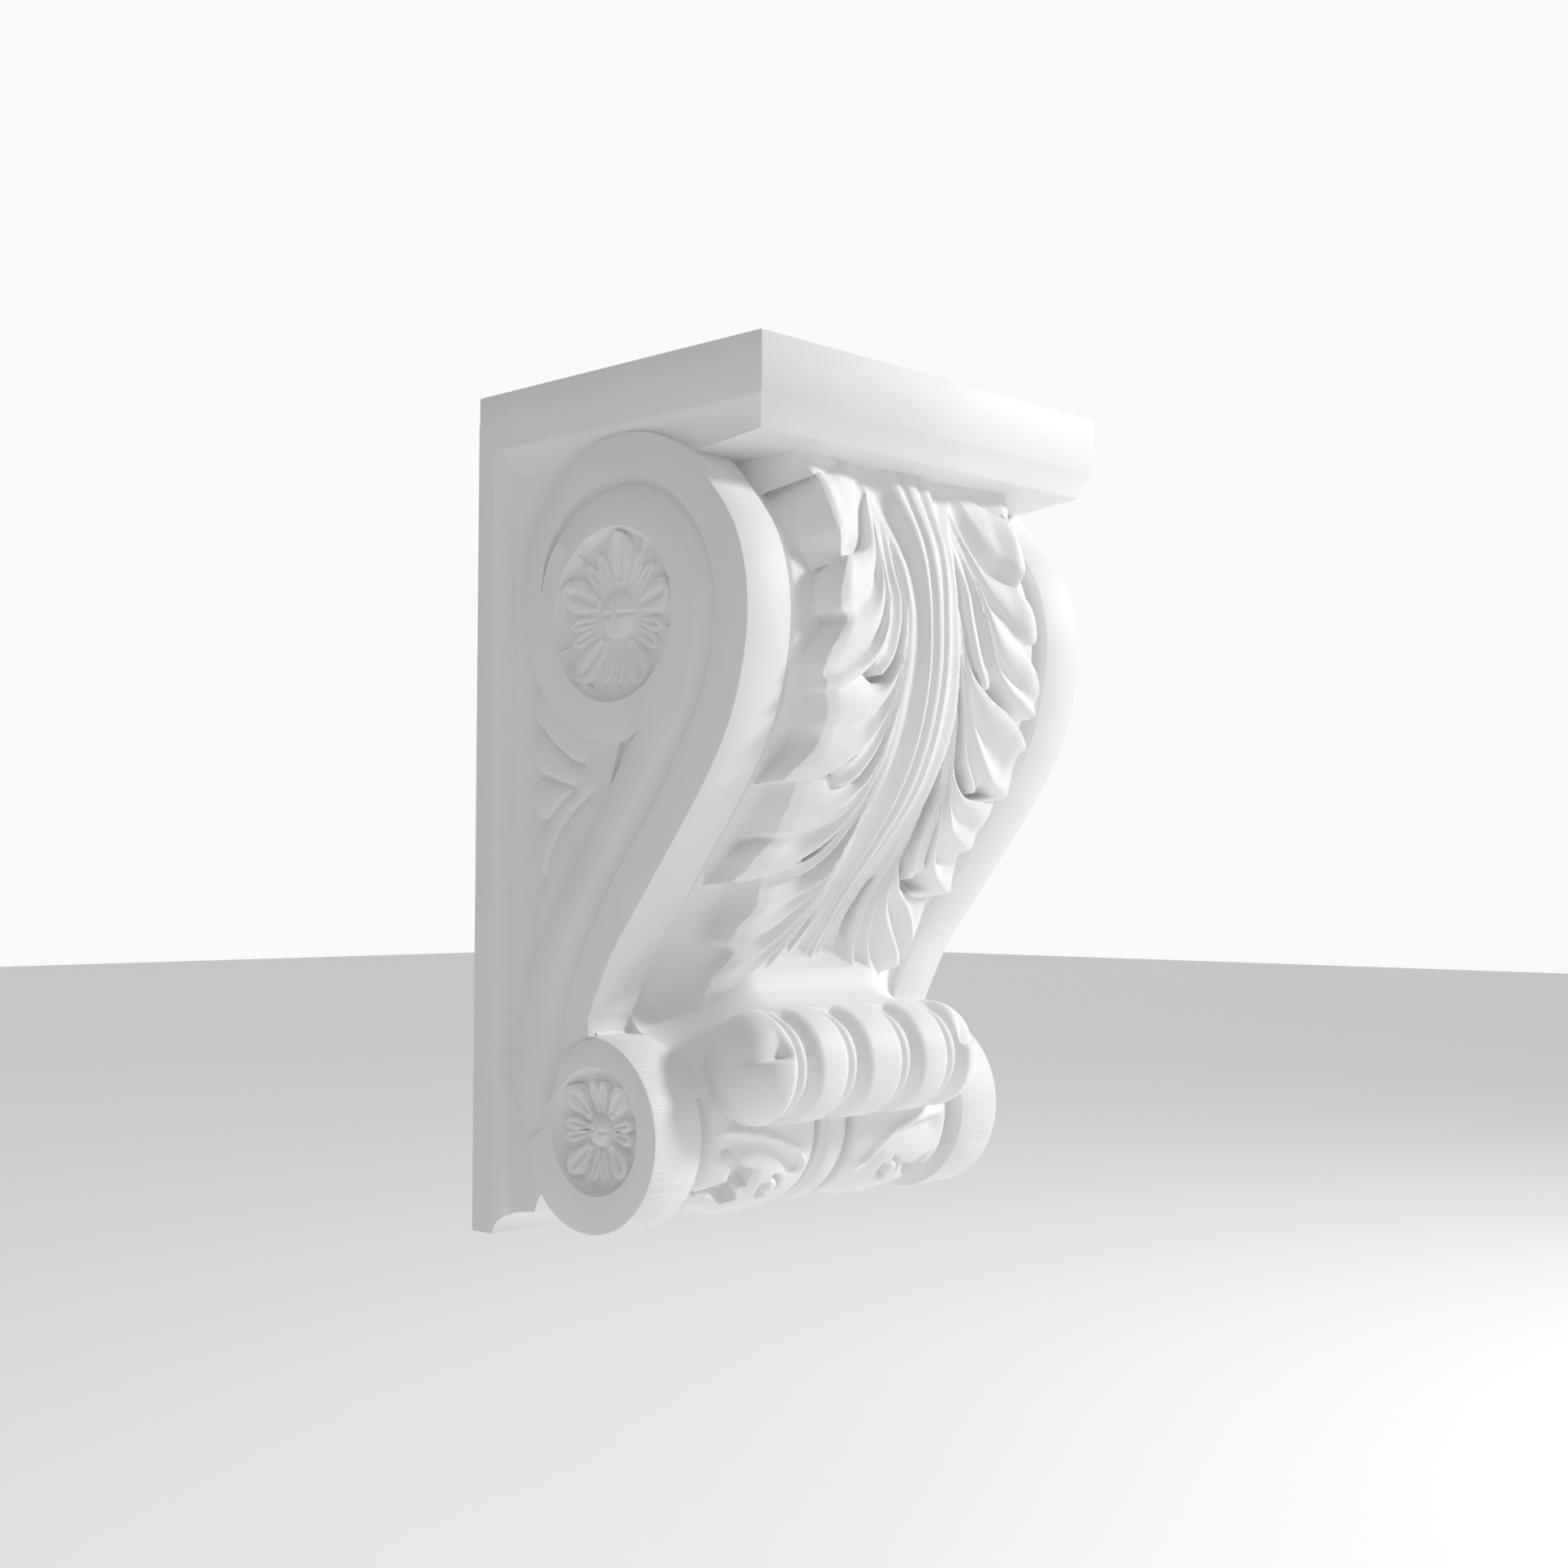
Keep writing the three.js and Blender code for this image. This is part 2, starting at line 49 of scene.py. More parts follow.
mm = 0.001
low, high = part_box("corbel")
foot_level = low[2]
half_width = (high[0] - low[0]) / 2 / mm
height = (high[2] - low[2]) / mm
depth = 143

# Side points are (out, up): out from the wall, and up from the underside of the foot, in millimetres.
front_line = np.array([
    (106.5, 267.6), (115, 259.2), (130.8, 238.3), (136.3, 213.3), (131.7, 185),
    (119, 160), (89.1, 121.2), (73.6, 101.6), (64, 84.5), (60.5, 77),
])
upper_eye = {"out": 76.4, "up": 223.8, "radius": 52.6}
lower_eye = {"out": 62.5, "up": 39, "radius": 33.3}

panel_sunk = 4.7
scroll_sunk = 0.9
band_width = 20.2
panel_face = half_width - panel_sunk
scroll_face = half_width - scroll_sunk
band_inner = scroll_face - band_width

foot_reach = 11
foot_height = 8.2
foot_run = 11
foot_shelf = 29
fascia_height = 20
ground_depth = 3
body_under_ground = 4.5
core_inset = 8
core_start, core_end = 238, 60


def smooth_line(points, steps=24):
    """A smooth line through the points, with that many steps between each two."""
    points = np.asarray(points, float)
    before = np.vstack([points[:1], points[:-1]])[:-1]
    after = np.vstack([points[1:], points[-1:]])[1:]
    start, end = points[:-1], points[1:]
    leave, reach = (end - before) / 2, (after - start) / 2
    t = (np.arange(steps) / steps)[None, :, None]
    line = ((2 * start - 2 * end + leave + reach)[:, None] * t ** 3
            + (3 * end - 3 * start - 2 * leave - reach)[:, None] * t ** 2
            + leave[:, None] * t + start[:, None])
    return np.vstack([line.reshape(-1, points.shape[1]), points[-1:]])


def along_line(points, count, steps=24):
    """The smooth line through the points, as count points at even spacing."""
    line = smooth_line(points, steps)
    run = np.r_[0, np.cumsum(np.linalg.norm(np.diff(line[:, :2], axis=0), axis=1))]
    even = np.linspace(0, run[-1], count)
    return np.stack([np.interp(even, run, line[:, k]) for k in range(line.shape[1])], -1)


def on_circle(eye, degrees, radius=None):
    """Points round an eye: degrees count from straight up towards the front."""
    angle = np.radians(degrees)
    radius = eye["radius"] if radius is None else radius
    return np.stack([eye["out"] + radius * np.sin(angle), eye["up"] + radius * np.cos(angle)], -1)


def arc(eye, start, end, count, radius=None):
    return on_circle(eye, np.linspace(start, end, count), radius)


front_curve = smooth_line(front_line, 60)
front_run = np.r_[0, np.cumsum(np.linalg.norm(np.diff(front_curve, axis=0), axis=1))]
front_length = front_run[-1]


def on_front(across, run, lift):
    """Points of the scroll's front: across the corbel, run down from the soffit, lift out of the face."""
    across, run, lift = np.broadcast_arrays(*(np.asarray(v, float) for v in (across, run, lift)))
    near = np.clip(run, 0, front_length)
    point = [np.interp(near, front_run, front_curve[:, k]) for k in (0, 1)]
    half_step = 0.8
    ahead = np.clip(near + half_step, 0, front_length)
    behind = np.clip(near - half_step, 0, front_length)
    way = [np.interp(ahead, front_run, front_curve[:, k]) - np.interp(behind, front_run, front_curve[:, k])
           for k in (0, 1)]
    length = np.hypot(*way)
    way = [w / length for w in way]
    out = point[0] + way[0] * (run - near) - way[1] * lift
    up = point[1] + way[1] * (run - near) + way[0] * lift
    return np.stack([across, out, up], -1)


def to_frame(points):
    """(across, out, up) in millimetres becomes metres in the corbel's own frame."""
    points = np.asarray(points, float)
    return np.stack([points[..., 0] * mm, -points[..., 1] * mm, foot_level + points[..., 2] * mm], -1)


def deselect():
    if bpy.context.mode != "OBJECT":
        bpy.ops.object.mode_set(mode="OBJECT")
    bpy.ops.object.select_all(action="DESELECT")


def take(piece):
    """Makes the piece the one selected, active object."""
    deselect()
    piece.select_set(True)
    bpy.context.view_layer.objects.active = piece


def apply_modifier(piece, kind, **settings):
    modifier = piece.modifiers.new(kind.lower(), kind)
    for key, value in settings.items():
        setattr(modifier, key, value)
    take(piece)
    bpy.ops.object.modifier_apply(modifier=modifier.name)


def outward(piece):
    take(piece)
    bpy.ops.object.mode_set(mode="EDIT")
    bpy.ops.mesh.select_all(action="SELECT")
    bpy.ops.mesh.normals_make_consistent(inside=False)
    bpy.ops.object.mode_set(mode="OBJECT")


def prism(name, corners, shift):
    """A solid that runs from a flat outline of corners straight along the shift."""
    deselect()
    bpy.ops.mesh.primitive_circle_add(vertices=len(corners), radius=1, fill_type="NGON")
    piece = bpy.context.object
    piece.name = name
    for vertex, corner in zip(piece.data.vertices, corners):
        vertex.co = to_frame(corner)
    bpy.ops.object.mode_set(mode="EDIT")
    bpy.ops.mesh.select_all(action="SELECT")
    bpy.ops.mesh.extrude_region_move(TRANSFORM_OT_translate={"value": [way * mm for way in shift]})
    bpy.ops.object.mode_set(mode="OBJECT")
    outward(piece)
    return piece


def plate(name, outline, left, right):
    """A plate with the outline of side points, from left to right across the corbel."""
    return prism(name, [(left, out, up) for out, up in outline], (right - left, 0, 0))


def combine(piece, other, operation="UNION"):
    """Joins the other solid to the piece, or cuts it away, and removes the other."""
    apply_modifier(piece, "BOOLEAN", object=other, operation=operation, solver="MANIFOLD")
    bpy.data.objects.remove(other)


def mirrored(piece):
    """A copy of the piece on the other side of the corbel."""
    take(piece)
    bpy.ops.object.duplicate()
    copy = bpy.context.object
    bpy.ops.transform.mirror(constraint_axis=(True, False, False), center_override=(0, 0, 0))
    bpy.ops.object.transform_apply(location=False, rotation=False, scale=True)
    outward(copy)
    return copy


def foot_curve(count=9):
    turn = np.linspace(0, math.pi / 2, count)
    return np.stack([foot_reach + foot_run * (1 - np.cos(turn)), foot_height * np.sin(turn)], -1)


front_back = on_front(0, np.linspace(front_length, 0, 60), -ground_depth - body_under_ground)[:, 1:]
underside_cove = [(foot_shelf, foot_height + 1), (foot_shelf + 1.4, 12.4), (foot_shelf + 3.8, 16.6)]
core_outline = np.vstack([
    (0, 0), foot_curve(), underside_cove,
    arc(lower_eye, core_start, core_end, 50, lower_eye["radius"] - core_inset),
    front_back,
    (upper_eye["out"], height - fascia_height), (0, height - fascia_height),
])
corbel = plate("corbel_body", core_outline, -panel_face, panel_face)

# Border against the wall
# A flat band runs down the wall on each side and turns under the foot. It is moulded with the body, and its
# front edge is rounded down to the sunk panel.

border_flat = 8
border_thickness = 15.4
border_root = 80
border_top = height - fascia_height / 2

turns = np.linspace(0, math.pi / 2, 9)
border_section = [(border_root, 0), (half_width, 0)] + [
    (panel_face + panel_sunk * math.cos(turn),
     border_flat + (border_thickness - border_flat) * math.sin(turn))
    for turn in turns] + [(border_root, border_thickness)]
border = prism("wall_border", [(across, out, 0) for across, out in border_section], (0, 0, border_top))
foot_mask = plate("foot_mask", np.vstack([(0, 0), foot_curve(), (foot_shelf, height), (0, height)]),
                  -half_width - 1, half_width + 1)
combine(border, foot_mask, "INTERSECT")
combine(corbel, mirrored(border))
combine(corbel, border)

# Abacus
# The plain slab that carries the load stands out all round over a small cove, on three sides. Its soffit
# falls towards the wall, so that the volutes tuck in under it. It is moulded with the rest.

cove_height = 10.4
cove_inset = 4.7
cove_steps = 8
cove_belly = 0.4
soffit_fall = 7
soffit_bend = {"out": 106, "fall": 3.4}
soffit_margin = 0.6
soffit_lap = 1
edge_round = 0.45
edge_turn = 60
downward = -0.9


def round_edges(piece, bevel, turn):
    apply_modifier(piece, "BEVEL", width=bevel * mm, segments=2, limit_method="ANGLE",
                   angle_limit=math.radians(turn))


deselect()
bpy.ops.mesh.primitive_cube_add(size=1)
abacus = bpy.context.object
abacus.name = "abacus"
take(abacus)
bpy.ops.transform.resize(value=(2 * half_width * mm, depth * mm, fascia_height * mm),
                         center_override=(0, 0, 0))
bpy.ops.transform.translate(value=(0, -depth / 2 * mm, foot_level + (height - fascia_height / 2) * mm))
bpy.ops.object.transform_apply(location=True, rotation=False, scale=True)
bpy.ops.object.mode_set(mode="EDIT")
bpy.ops.mesh.select_mode(type="FACE")
bpy.ops.mesh.select_all(action="DESELECT")
bpy.ops.object.mode_set(mode="OBJECT")
for face in abacus.data.polygons:
    face.select = face.normal.z < downward
bpy.ops.object.mode_set(mode="EDIT")
cove_insets = [cove_inset * ((1 + cove_belly) * share - cove_belly * share ** 2)
               for share in np.linspace(0, 1, cove_steps + 1)]
fall = cove_height / cove_steps * mm
for inset_from, inset_to in zip(cove_insets, cove_insets[1:]):
    across = (half_width - inset_to) / (half_width - inset_from)
    out = (depth - inset_to) / (depth - inset_from)
    bpy.ops.mesh.extrude_region_move(TRANSFORM_OT_translate={"value": (0, 0, -fall)})
    bpy.ops.transform.resize(value=(across, out, 1), center_override=(0, 0, 0))
bpy.ops.object.mode_set(mode="OBJECT")
round_edges(abacus, edge_round, edge_turn)
soffit_up = height - fascia_height - cove_height
soffit_edge = depth - cove_inset - soffit_margin
soffit = plate("soffit", [
    (0, soffit_up + soffit_lap), (soffit_edge, soffit_up + soffit_lap), (soffit_edge, soffit_up),
    (soffit_bend["out"], soffit_up - soffit_bend["fall"]), (upper_eye["out"], soffit_up - soffit_fall),
    (0, soffit_up - soffit_fall),
], -panel_face, panel_face)
combine(abacus, soffit)

# Scroll sides
# On each side an S-shaped plate stands proud of the panel: a large volute above, tucked under the abacus,
# and a small one below, with a round drum that stands out a little more and dies into the plate.

back_line = [(28.8, 36), (23.6, 50), (23, 61), (25.4, 81.4), (32.5, 97.9), (46.1, 119.1), (64.2, 146.1),
             (80.5, 170)]
volute_tail = (84.6, 174.8)
drum_line = [(38.4, 39.3), (39.3, 46.4), (43, 56), (48.6, 65), (55, 68.6), (60, 71.1), (65.7, 71)]
drum_proud = 0.9
side_edge = 0.35
bevel_turn = 50
lower_turn = (-3, 264)
upper_turn = (182, 394)
drum_turn = (6, 262)

scroll_outline = np.vstack([
    on_front(0, np.linspace(0, front_length - 1, 110), 0)[:, 1:],
    arc(lower_eye, *lower_turn, 64),
    along_line(back_line, 60)[1:],
    volute_tail,
    arc(upper_eye, *upper_turn, 76),
])
drum_outline = np.vstack([arc(lower_eye, *drum_turn, 64), along_line(drum_line, 24)[:-1]])
scroll = plate("scroll", scroll_outline, band_inner, scroll_face)
drum = plate("drum", drum_outline, band_inner, scroll_face + drum_proud)
round_edges(scroll, side_edge, bevel_turn)
round_edges(drum, side_edge, bevel_turn)
combine(scroll, drum)

# Channel of the scroll
# A round-bottomed channel follows the S on each plate, from the tip under the volute to the lower drum.
# Its outer edge is sharp and deepest, and its inner edge is soft.


def mesh_solid(name, points, faces):
    """A solid of the points, in millimetres, and the faces between them."""
    mesh = bpy.data.meshes.new(name)
    mesh.from_pydata(to_frame(points).tolist(), [], faces)
    piece = bpy.data.objects.new(name, mesh)
    bpy.context.collection.objects.link(piece)
    outward(piece)
    return piece


def quads_of(grid):
    return np.stack([grid[:-1, :-1], grid[:-1, 1:], grid[1:, 1:], grid[1:, :-1]], -1).reshape(-1, 4)


def closed_solid(name, top, *below):
    """A closed solid of grids of points: its top, then its walls' foot if that differs, then its base."""
    rows, columns = top.shape[:2]
    points = np.concatenate([grid.reshape(-1, 3) for grid in (top, *below)])
    index = np.arange(rows * columns).reshape(rows, columns)
    levels = [index + number * rows * columns for number in range(len(below) + 1)]
    under = levels[-1]

    def wall(line, below):
        return np.stack([line[1:], line[:-1], below[:-1], below[1:]], -1)

    walls = [
        side for upper, lower in zip(levels, levels[1:])
        for side in (wall(upper[0], lower[0]), wall(upper[-1][::-1], lower[-1][::-1]),
                     wall(upper[:, 0][::-1], lower[:, 0][::-1]), wall(upper[:, -1], lower[:, -1]))
    ]
    faces = np.vstack([quads_of(index), quads_of(under)[:, ::-1], *walls])
    return mesh_solid(name, points, faces.tolist())


def round_solid(name, top, bottom):
    """A closed solid between two round grids, whose first column follows the last, with closed centres."""
    rows, columns = top.shape[:2]
    points = np.concatenate([top.reshape(-1, 3), bottom.reshape(-1, 3)])
    index = np.arange(rows * columns).reshape(rows, columns)
    index = np.concatenate([index, index[:, :1]], 1)
    under = index + rows * columns
    rim = np.stack([index[-1, 1:], index[-1, :-1], under[-1, :-1], under[-1, 1:]], -1)
    quads = np.vstack([quads_of(index), quads_of(under[:, ::-1]), rim])
    return mesh_solid(name, points, quads.tolist() + [index[0, :-1][::-1].tolist(), under[0, :-1].tolist()])


channel_depth = 3.7
channel_steps = 150
channel_ends = (0.03, 0.05)
end_depth = 0.06
end_curve = 0.6
channel_over = 2
channel_sharp = [
    (34.4, 226), (36.5, 237), (40.6, 245.3), (50, 254.6), (64, 260.6), (80, 261.6), (90, 259.6),
    (98.3, 255.4), (106.7, 248.3), (115, 238.3), (120, 226.7), (122, 214.2), (120.8, 201.7), (116.7, 188.3),
    (110.8, 176.7),
    (100, 160), (86.4, 141.6), (73.4, 125.2), (63.7, 110.3), (57.9, 100), (53.6, 91.4), (50.7, 83.6),
    (48.6, 75), (47.5, 67.9), (47.3, 60), (43, 50),
]
channel_soft = [
    (34.8, 226), (37.6, 235), (42.5, 242), (52, 250.6), (65, 255.6), (80, 256), (87.6, 252.9), (94, 248.5),
    (101, 242), (107, 234), (110.4, 224), (111.8, 213), (110, 201), (106.5, 190), (101.7, 176.7),
    (89.5, 164), (75, 144), (62, 127), (52, 112), (44, 100), (40, 90.7), (37.5, 82.1),
    (35.9, 72.9), (35.4, 62.9), (35.7, 53.6), (36.8, 45.7),
]
channel_section = [(0, 0.55), (0.04, 0.85), (0.14, 1), (0.3, 0.93), (0.48, 0.66), (0.66, 0.36), (0.84, 0.12),
                   (1, -0.02)]
sharp = along_line(channel_sharp, channel_steps)
soft = along_line(channel_soft, channel_steps)
spans = np.linspace(0, 1, channel_steps)
fade = np.clip(np.minimum(spans / channel_ends[0], (1 - spans) / channel_ends[1]), end_depth, 1) ** end_curve
section = smooth_line(channel_section, 4)
channel_floor = np.stack([
    np.stack([scroll_face - channel_depth * sunk * fade, *(sharp + (soft - sharp) * share).T], -1)
    for share, sunk in section
], 1)
channel_lid = channel_floor.copy()
channel_lid[..., 0] = scroll_face + channel_over
combine(scroll, closed_solid("channel", channel_floor, channel_lid), "DIFFERENCE")

# Rosettes in the eyes
# Each volute's eye is a round recess with a small flower in it: large fluted petals that curl out at
# their tips, a pair of small ones between each two, and a round knob, all carved in the mould.

rosettes = (
    {"out": 71.2, "up": 215.3, "radius": 30, "sunk": 6, "slope": 5, "knob": 8.8, "petals": 5, "start": 4,
     "reach": 28.2, "wide": 6.9, "small_reach": 24, "small_wide": 3.1, "small_gap": 0.145,
     "around_steps": 330, "ring_steps": 60},
    {"out": 65.1, "up": 40.5, "radius": 21.3, "sunk": 4.6, "slope": 3.4, "knob": 5.2, "petals": 4,
     "start": 43, "reach": 20.2, "wide": 5.1, "small_reach": 17, "small_wide": 2.6, "small_gap": 0.165,
     "around_steps": 260, "ring_steps": 46},
)
petal_rise = 4.2
petal_root = 0.3
petal_low, petal_high = 0.56, 0.44
petal_pillow = 0.2
tip_start = 0.74
tip_run = 0.262
flute_sink = 0.42
flute_width = 0.2
small_rise = 3.2
knob_rise = 4.4
knob_foot = 0.6
cross_cut = 1.1
cross_width = 1.3
moat_sink = 0.75
moat_width = 0.9
rosette_under = 0.15
eye_margin = 1.2
eye_over = 3
rosette_detail = 0.2


def smoothstep(low_edge, high_edge, value):
    t = np.clip((value - low_edge) / (high_edge - low_edge), 0, 1)
    return t * t * (3 - 2 * t)


def petal_lift(radius, offset, reach, wide, rise):
    """Height of a petal over the recess floor, at a radius and an offset in radians from its middle line."""
    share = np.clip(radius / reach, 0, 1.2)
    side = radius * np.sin(offset)
    half = wide * (petal_root + (1 - petal_root) * smoothstep(0.3, 0.86, share))
    half = half * np.sqrt(np.clip(1 - ((share - tip_start) / tip_run).clip(0, 1) ** 2.2, 0, 1))
    across = np.abs(side) / np.maximum(half, 0.05)
    body = 1 - smoothstep(0.84, 1.04, across)
    crown = petal_low + petal_high * smoothstep(0.3, 1, share)
    flute = flute_sink * np.exp(-(side / (flute_width * wide)) ** 2) * smoothstep(0.34, 0.5, share)
    flute = flute * (1 - smoothstep(0.8, 0.95, share))
    pillow = petal_pillow * (1 - across.clip(0, 1) ** 2)
    return np.where(np.cos(offset) > 0, body * rise * (crown - flute + pillow), 0)


def eye_cutter(name, out, up, radius, sunk, slope, knob, petals, start, reach, wide, small_reach, small_wide,
               small_gap, around_steps, ring_steps):
    around = np.linspace(0, 2 * math.pi, around_steps, endpoint=False)[None, :]
    ring = np.linspace(0.5, radius + eye_margin, ring_steps)[:, None]
    step = 2 * math.pi / petals
    raised = np.zeros((ring_steps, around_steps))
    for number in range(petals):
        turn = math.radians(start) + number * step
        for side in (-1, 1):
            middle = turn + step / 2 + side * small_gap
            small = petal_lift(ring, around - middle, small_reach, small_wide, small_rise)
            raised = np.maximum(raised, small)
        raised = np.maximum(raised, petal_lift(ring, around - turn, reach, wide, petal_rise))
    dome = knob_rise * np.sqrt(np.clip(1 - (ring / knob) ** 2, 0, 1)) ** 0.7
    cross = cross_cut * np.exp(-(ring * np.abs(np.sin(2 * around)) / cross_width) ** 2)
    cross = cross * smoothstep(0, 1.2, ring)
    moat = 1 - moat_sink * np.exp(-((ring - knob - 0.5) / moat_width) ** 2)
    raised = np.where(ring < knob, knob_foot + dome - cross, raised * moat)
    wall = np.clip((ring - (radius - slope)) / slope, 0, None)
    slope_lift = sunk * wall ** 1.6
    lift = np.maximum(np.minimum(raised + 0.35 * slope_lift, sunk - rosette_under), slope_lift) - sunk
    top = np.stack([scroll_face + lift, out + ring * np.sin(around) + 0 * lift,
                    up + ring * np.cos(around) + 0 * lift], -1)
    lid = top.copy()
    lid[..., 0] = scroll_face + eye_over
    return round_solid(name, top, lid)


def thin_out(piece, share):
    """Leaves the piece a share of its triangles."""
    apply_modifier(piece, "TRIANGULATE")
    apply_modifier(piece, "DECIMATE", ratio=share)


for place, rosette in zip(("upper", "lower"), rosettes):
    cutter = eye_cutter(place + "_eye", **rosette)
    thin_out(cutter, rosette_detail)
    combine(scroll, cutter, "DIFFERENCE")
combine(corbel, mirrored(scroll))
combine(corbel, scroll)
combine(corbel, abacus)

# Leaf on the sunk panel
# Behind each scroll a low acanthus spray lies on the panel. Its five fingers spring from the waist of the
# scroll towards the wall, hardly two millimetres proud, with a cut line between each two.

panel_margin = [
    (33.4, 196), (31, 191), (29.6, 186), (30.1, 181.6), (31.2, 179.4), (29, 175.6), (28.1, 171.5),
    (28.8, 167), (31.6, 163.4), (35.4, 161.2), (30.6, 159), (27.8, 155.2), (28, 151.4), (30.8, 148),
    (35.6, 145.6), (33, 141), (31.7, 136), (32.4, 130.4), (34.4, 125.2), (32, 118), (31.1, 112),
    (31.8, 106), (33.8, 101), (46, 108), (60, 128), (76, 152), (84, 170), (70, 182), (48, 200),
]
panel_cuts = (
    ([(31.2, 179.4), (35, 175.6), (40, 171.7), (48.3, 166.4), (55.4, 164.6)], 1.5),
    ([(35.4, 161.2), (41, 159.4), (50.4, 156.8)], 1.5),
    ([(50.4, 156.8), (44, 152.2), (35.6, 145.6)], 1.2),
    ([(60, 155), (50, 148.6), (43, 142), (38, 133.4), (34.4, 125.2)], 1.1),
)
panel_rise = 1.9
panel_sink = 0.6
panel_crown = 0.5
panel_root = 3
spray_low, spray_high, spray_step = 97, 197, 0.42
spray_back = 26
spray_width = 26
spray_spread = 0.3
cut_width = 0.9
valley_width = 3.2
valley_share = 0.35
spray_detail = 0.1


def apart_from(out, up, line):
    """Distance of each point of a grid from a line of points, and how far along it the nearest place is."""
    best = np.full(out.shape, 1e9)
    along = np.zeros(out.shape)
    for number, ((x0, y0), (x1, y1)) in enumerate(zip(line, line[1:])):
        dx, dy = x1 - x0, y1 - y0
        t = np.clip(((out - x0) * dx + (up - y0) * dy) / (dx * dx + dy * dy), 0, 1)
        apart = np.hypot(out - x0 - t * dx, up - y0 - t * dy)
        along = np.where(apart < best, number + t, along)
        best = np.minimum(best, apart)
    return best, along / (len(line) - 1)


def inside(out, up, outline):
    """True where a point of the grid lies inside the closed outline."""
    crossings = np.zeros(out.shape, int)
    for (x0, y0), (x1, y1) in zip(outline, outline[1:] + outline[:1]):
        if y0 != y1:
            between = (up >= min(y0, y1)) & (up < max(y0, y1))
            crossings += between & (out < x0 + (up - y0) * (x1 - x0) / (y1 - y0))
    return crossings % 2 == 1


def panel_leaf():
    across, up = np.meshgrid(np.linspace(0, 1, 120), np.arange(spray_low, spray_high, spray_step))
    out = spray_back + across * (spray_width + (up - spray_low) * spray_spread)
    margin, _ = apart_from(out, up, panel_margin)
    rise = panel_rise * smoothstep(-0.5, 0.5, margin) ** 0.5
    lift = np.where(inside(out, up, panel_margin), rise, -panel_sink)
    lift = lift + np.where(lift > 0, panel_crown * smoothstep(0, 5, margin), 0)
    for line, cut_depth in panel_cuts:
        apart, along = apart_from(out, up, line)
        end = smoothstep(0, 0.06, along) * (1 - smoothstep(0.97, 1, along)) * 0.4 + 0.6
        lift = lift - np.where(lift > 0, cut_depth * end * np.exp(-(apart / cut_width) ** 2), 0)
        valley = valley_share * cut_depth * np.exp(-(apart / valley_width) ** 2)
        lift = lift - np.where(lift > 0, valley, 0)
    top = np.stack([panel_face + lift, out, up], -1)
    base = top.copy()
    base[..., 0] = panel_face - panel_root
    leaf = closed_solid("panel_leaf", top, base)
    thin_out(leaf, spray_detail)
    return leaf


leaf_right = panel_leaf()
combine(corbel, mirrored(leaf_right))
combine(corbel, leaf_right)

# Front panel
# Between the two bands the front is sunk to a plain ground with a round groove along each band. The
# acanthus leaf is carved over it. All the carving is one skin, softened as plaster is by a rubber mould.

groove_width = 4.8
groove_depth = 5.8
carving_base = -9.5
carving_lap = 1.6
carving_start = -9
ground_half = band_inner - groove_width
groove_mid = band_inner - groove_width / 2
ground_section = [
    (-band_inner - carving_lap, -groove_depth + 1.4), (-band_inner, -groove_depth + 1.2),
    (-groove_mid, -groove_depth),
    (-ground_half - 0.6, -ground_depth - 1.1), (-ground_half + 0.4, -ground_depth - 0.15),
    (-ground_half + 1.6, -ground_depth),
]
half_section = smooth_line(ground_section, 5)
whole_section = np.vstack([half_section, half_section[::-1] * (-1, 1)])
runs = np.linspace(carving_start, front_length + 1, 150)
ground_top = np.stack([on_front(x, runs, lift) for x, lift in whole_section], 1)
ground_base = np.stack([on_front(x, runs, carving_base) for x, lift in whole_section], 1)
carving = [closed_solid("front_ground", ground_top, ground_base)]

# Acanthus leaf
# The leaf falls down the front from under the soffit. Each lobe is a fan of round ribs and hollows between
# its two edges, with slots beside the stem and an eye where two lobes meet.

face_runs = [-8, 0, 12, 25, 40, 60, 80, 100, 120, 140, 160, 175, 195, 210, 225]
face_across = [0, 8, 15, 20, 30, 40, 50, 60]
face_table = np.array([
    [21, 21, 20, 20, 21, 22, 22, 22],
    [18, 18, 17, 17, 18, 19.5, 20, 20],
    [15, 14, 13, 13, 14, 15, 15.5, 15.5],
    [11, 8.5, 7, 7, 7.5, 10, 13, 13],
    [8, 6.5, 4.2, 3.2, 4, 5.5, 9.5, 10],
    [5.6, 4.6, 3.2, 3.8, 5.2, 6.2, 7.8, 8],
    [6.2, 5.2, 4, 4.7, 6.2, 6.6, 7.2, 7.5],
    [7.4, 6.3, 5.5, 6.1, 7.5, 8.5, 8.8, 8.8],
    [8.8, 7.8, 7.1, 8, 9.3, 9, 8, 7.8],
    [8.3, 7.4, 7.8, 9, 9, 8.5, 8.6, 8.6],
    [7.2, 6.5, 8.5, 9.5, 8, 7.4, 7, 6.8],
    [7, 6.5, 8, 9, 9.5, 10, 10, 9.5],
    [8, 7, 8, 9, 9.5, 10, 10, 9.5],
    [11, 11, 11, 11, 11, 11, 10.5, 10],
    [14, 14, 14, 14, 14, 14, 13, 12],
])


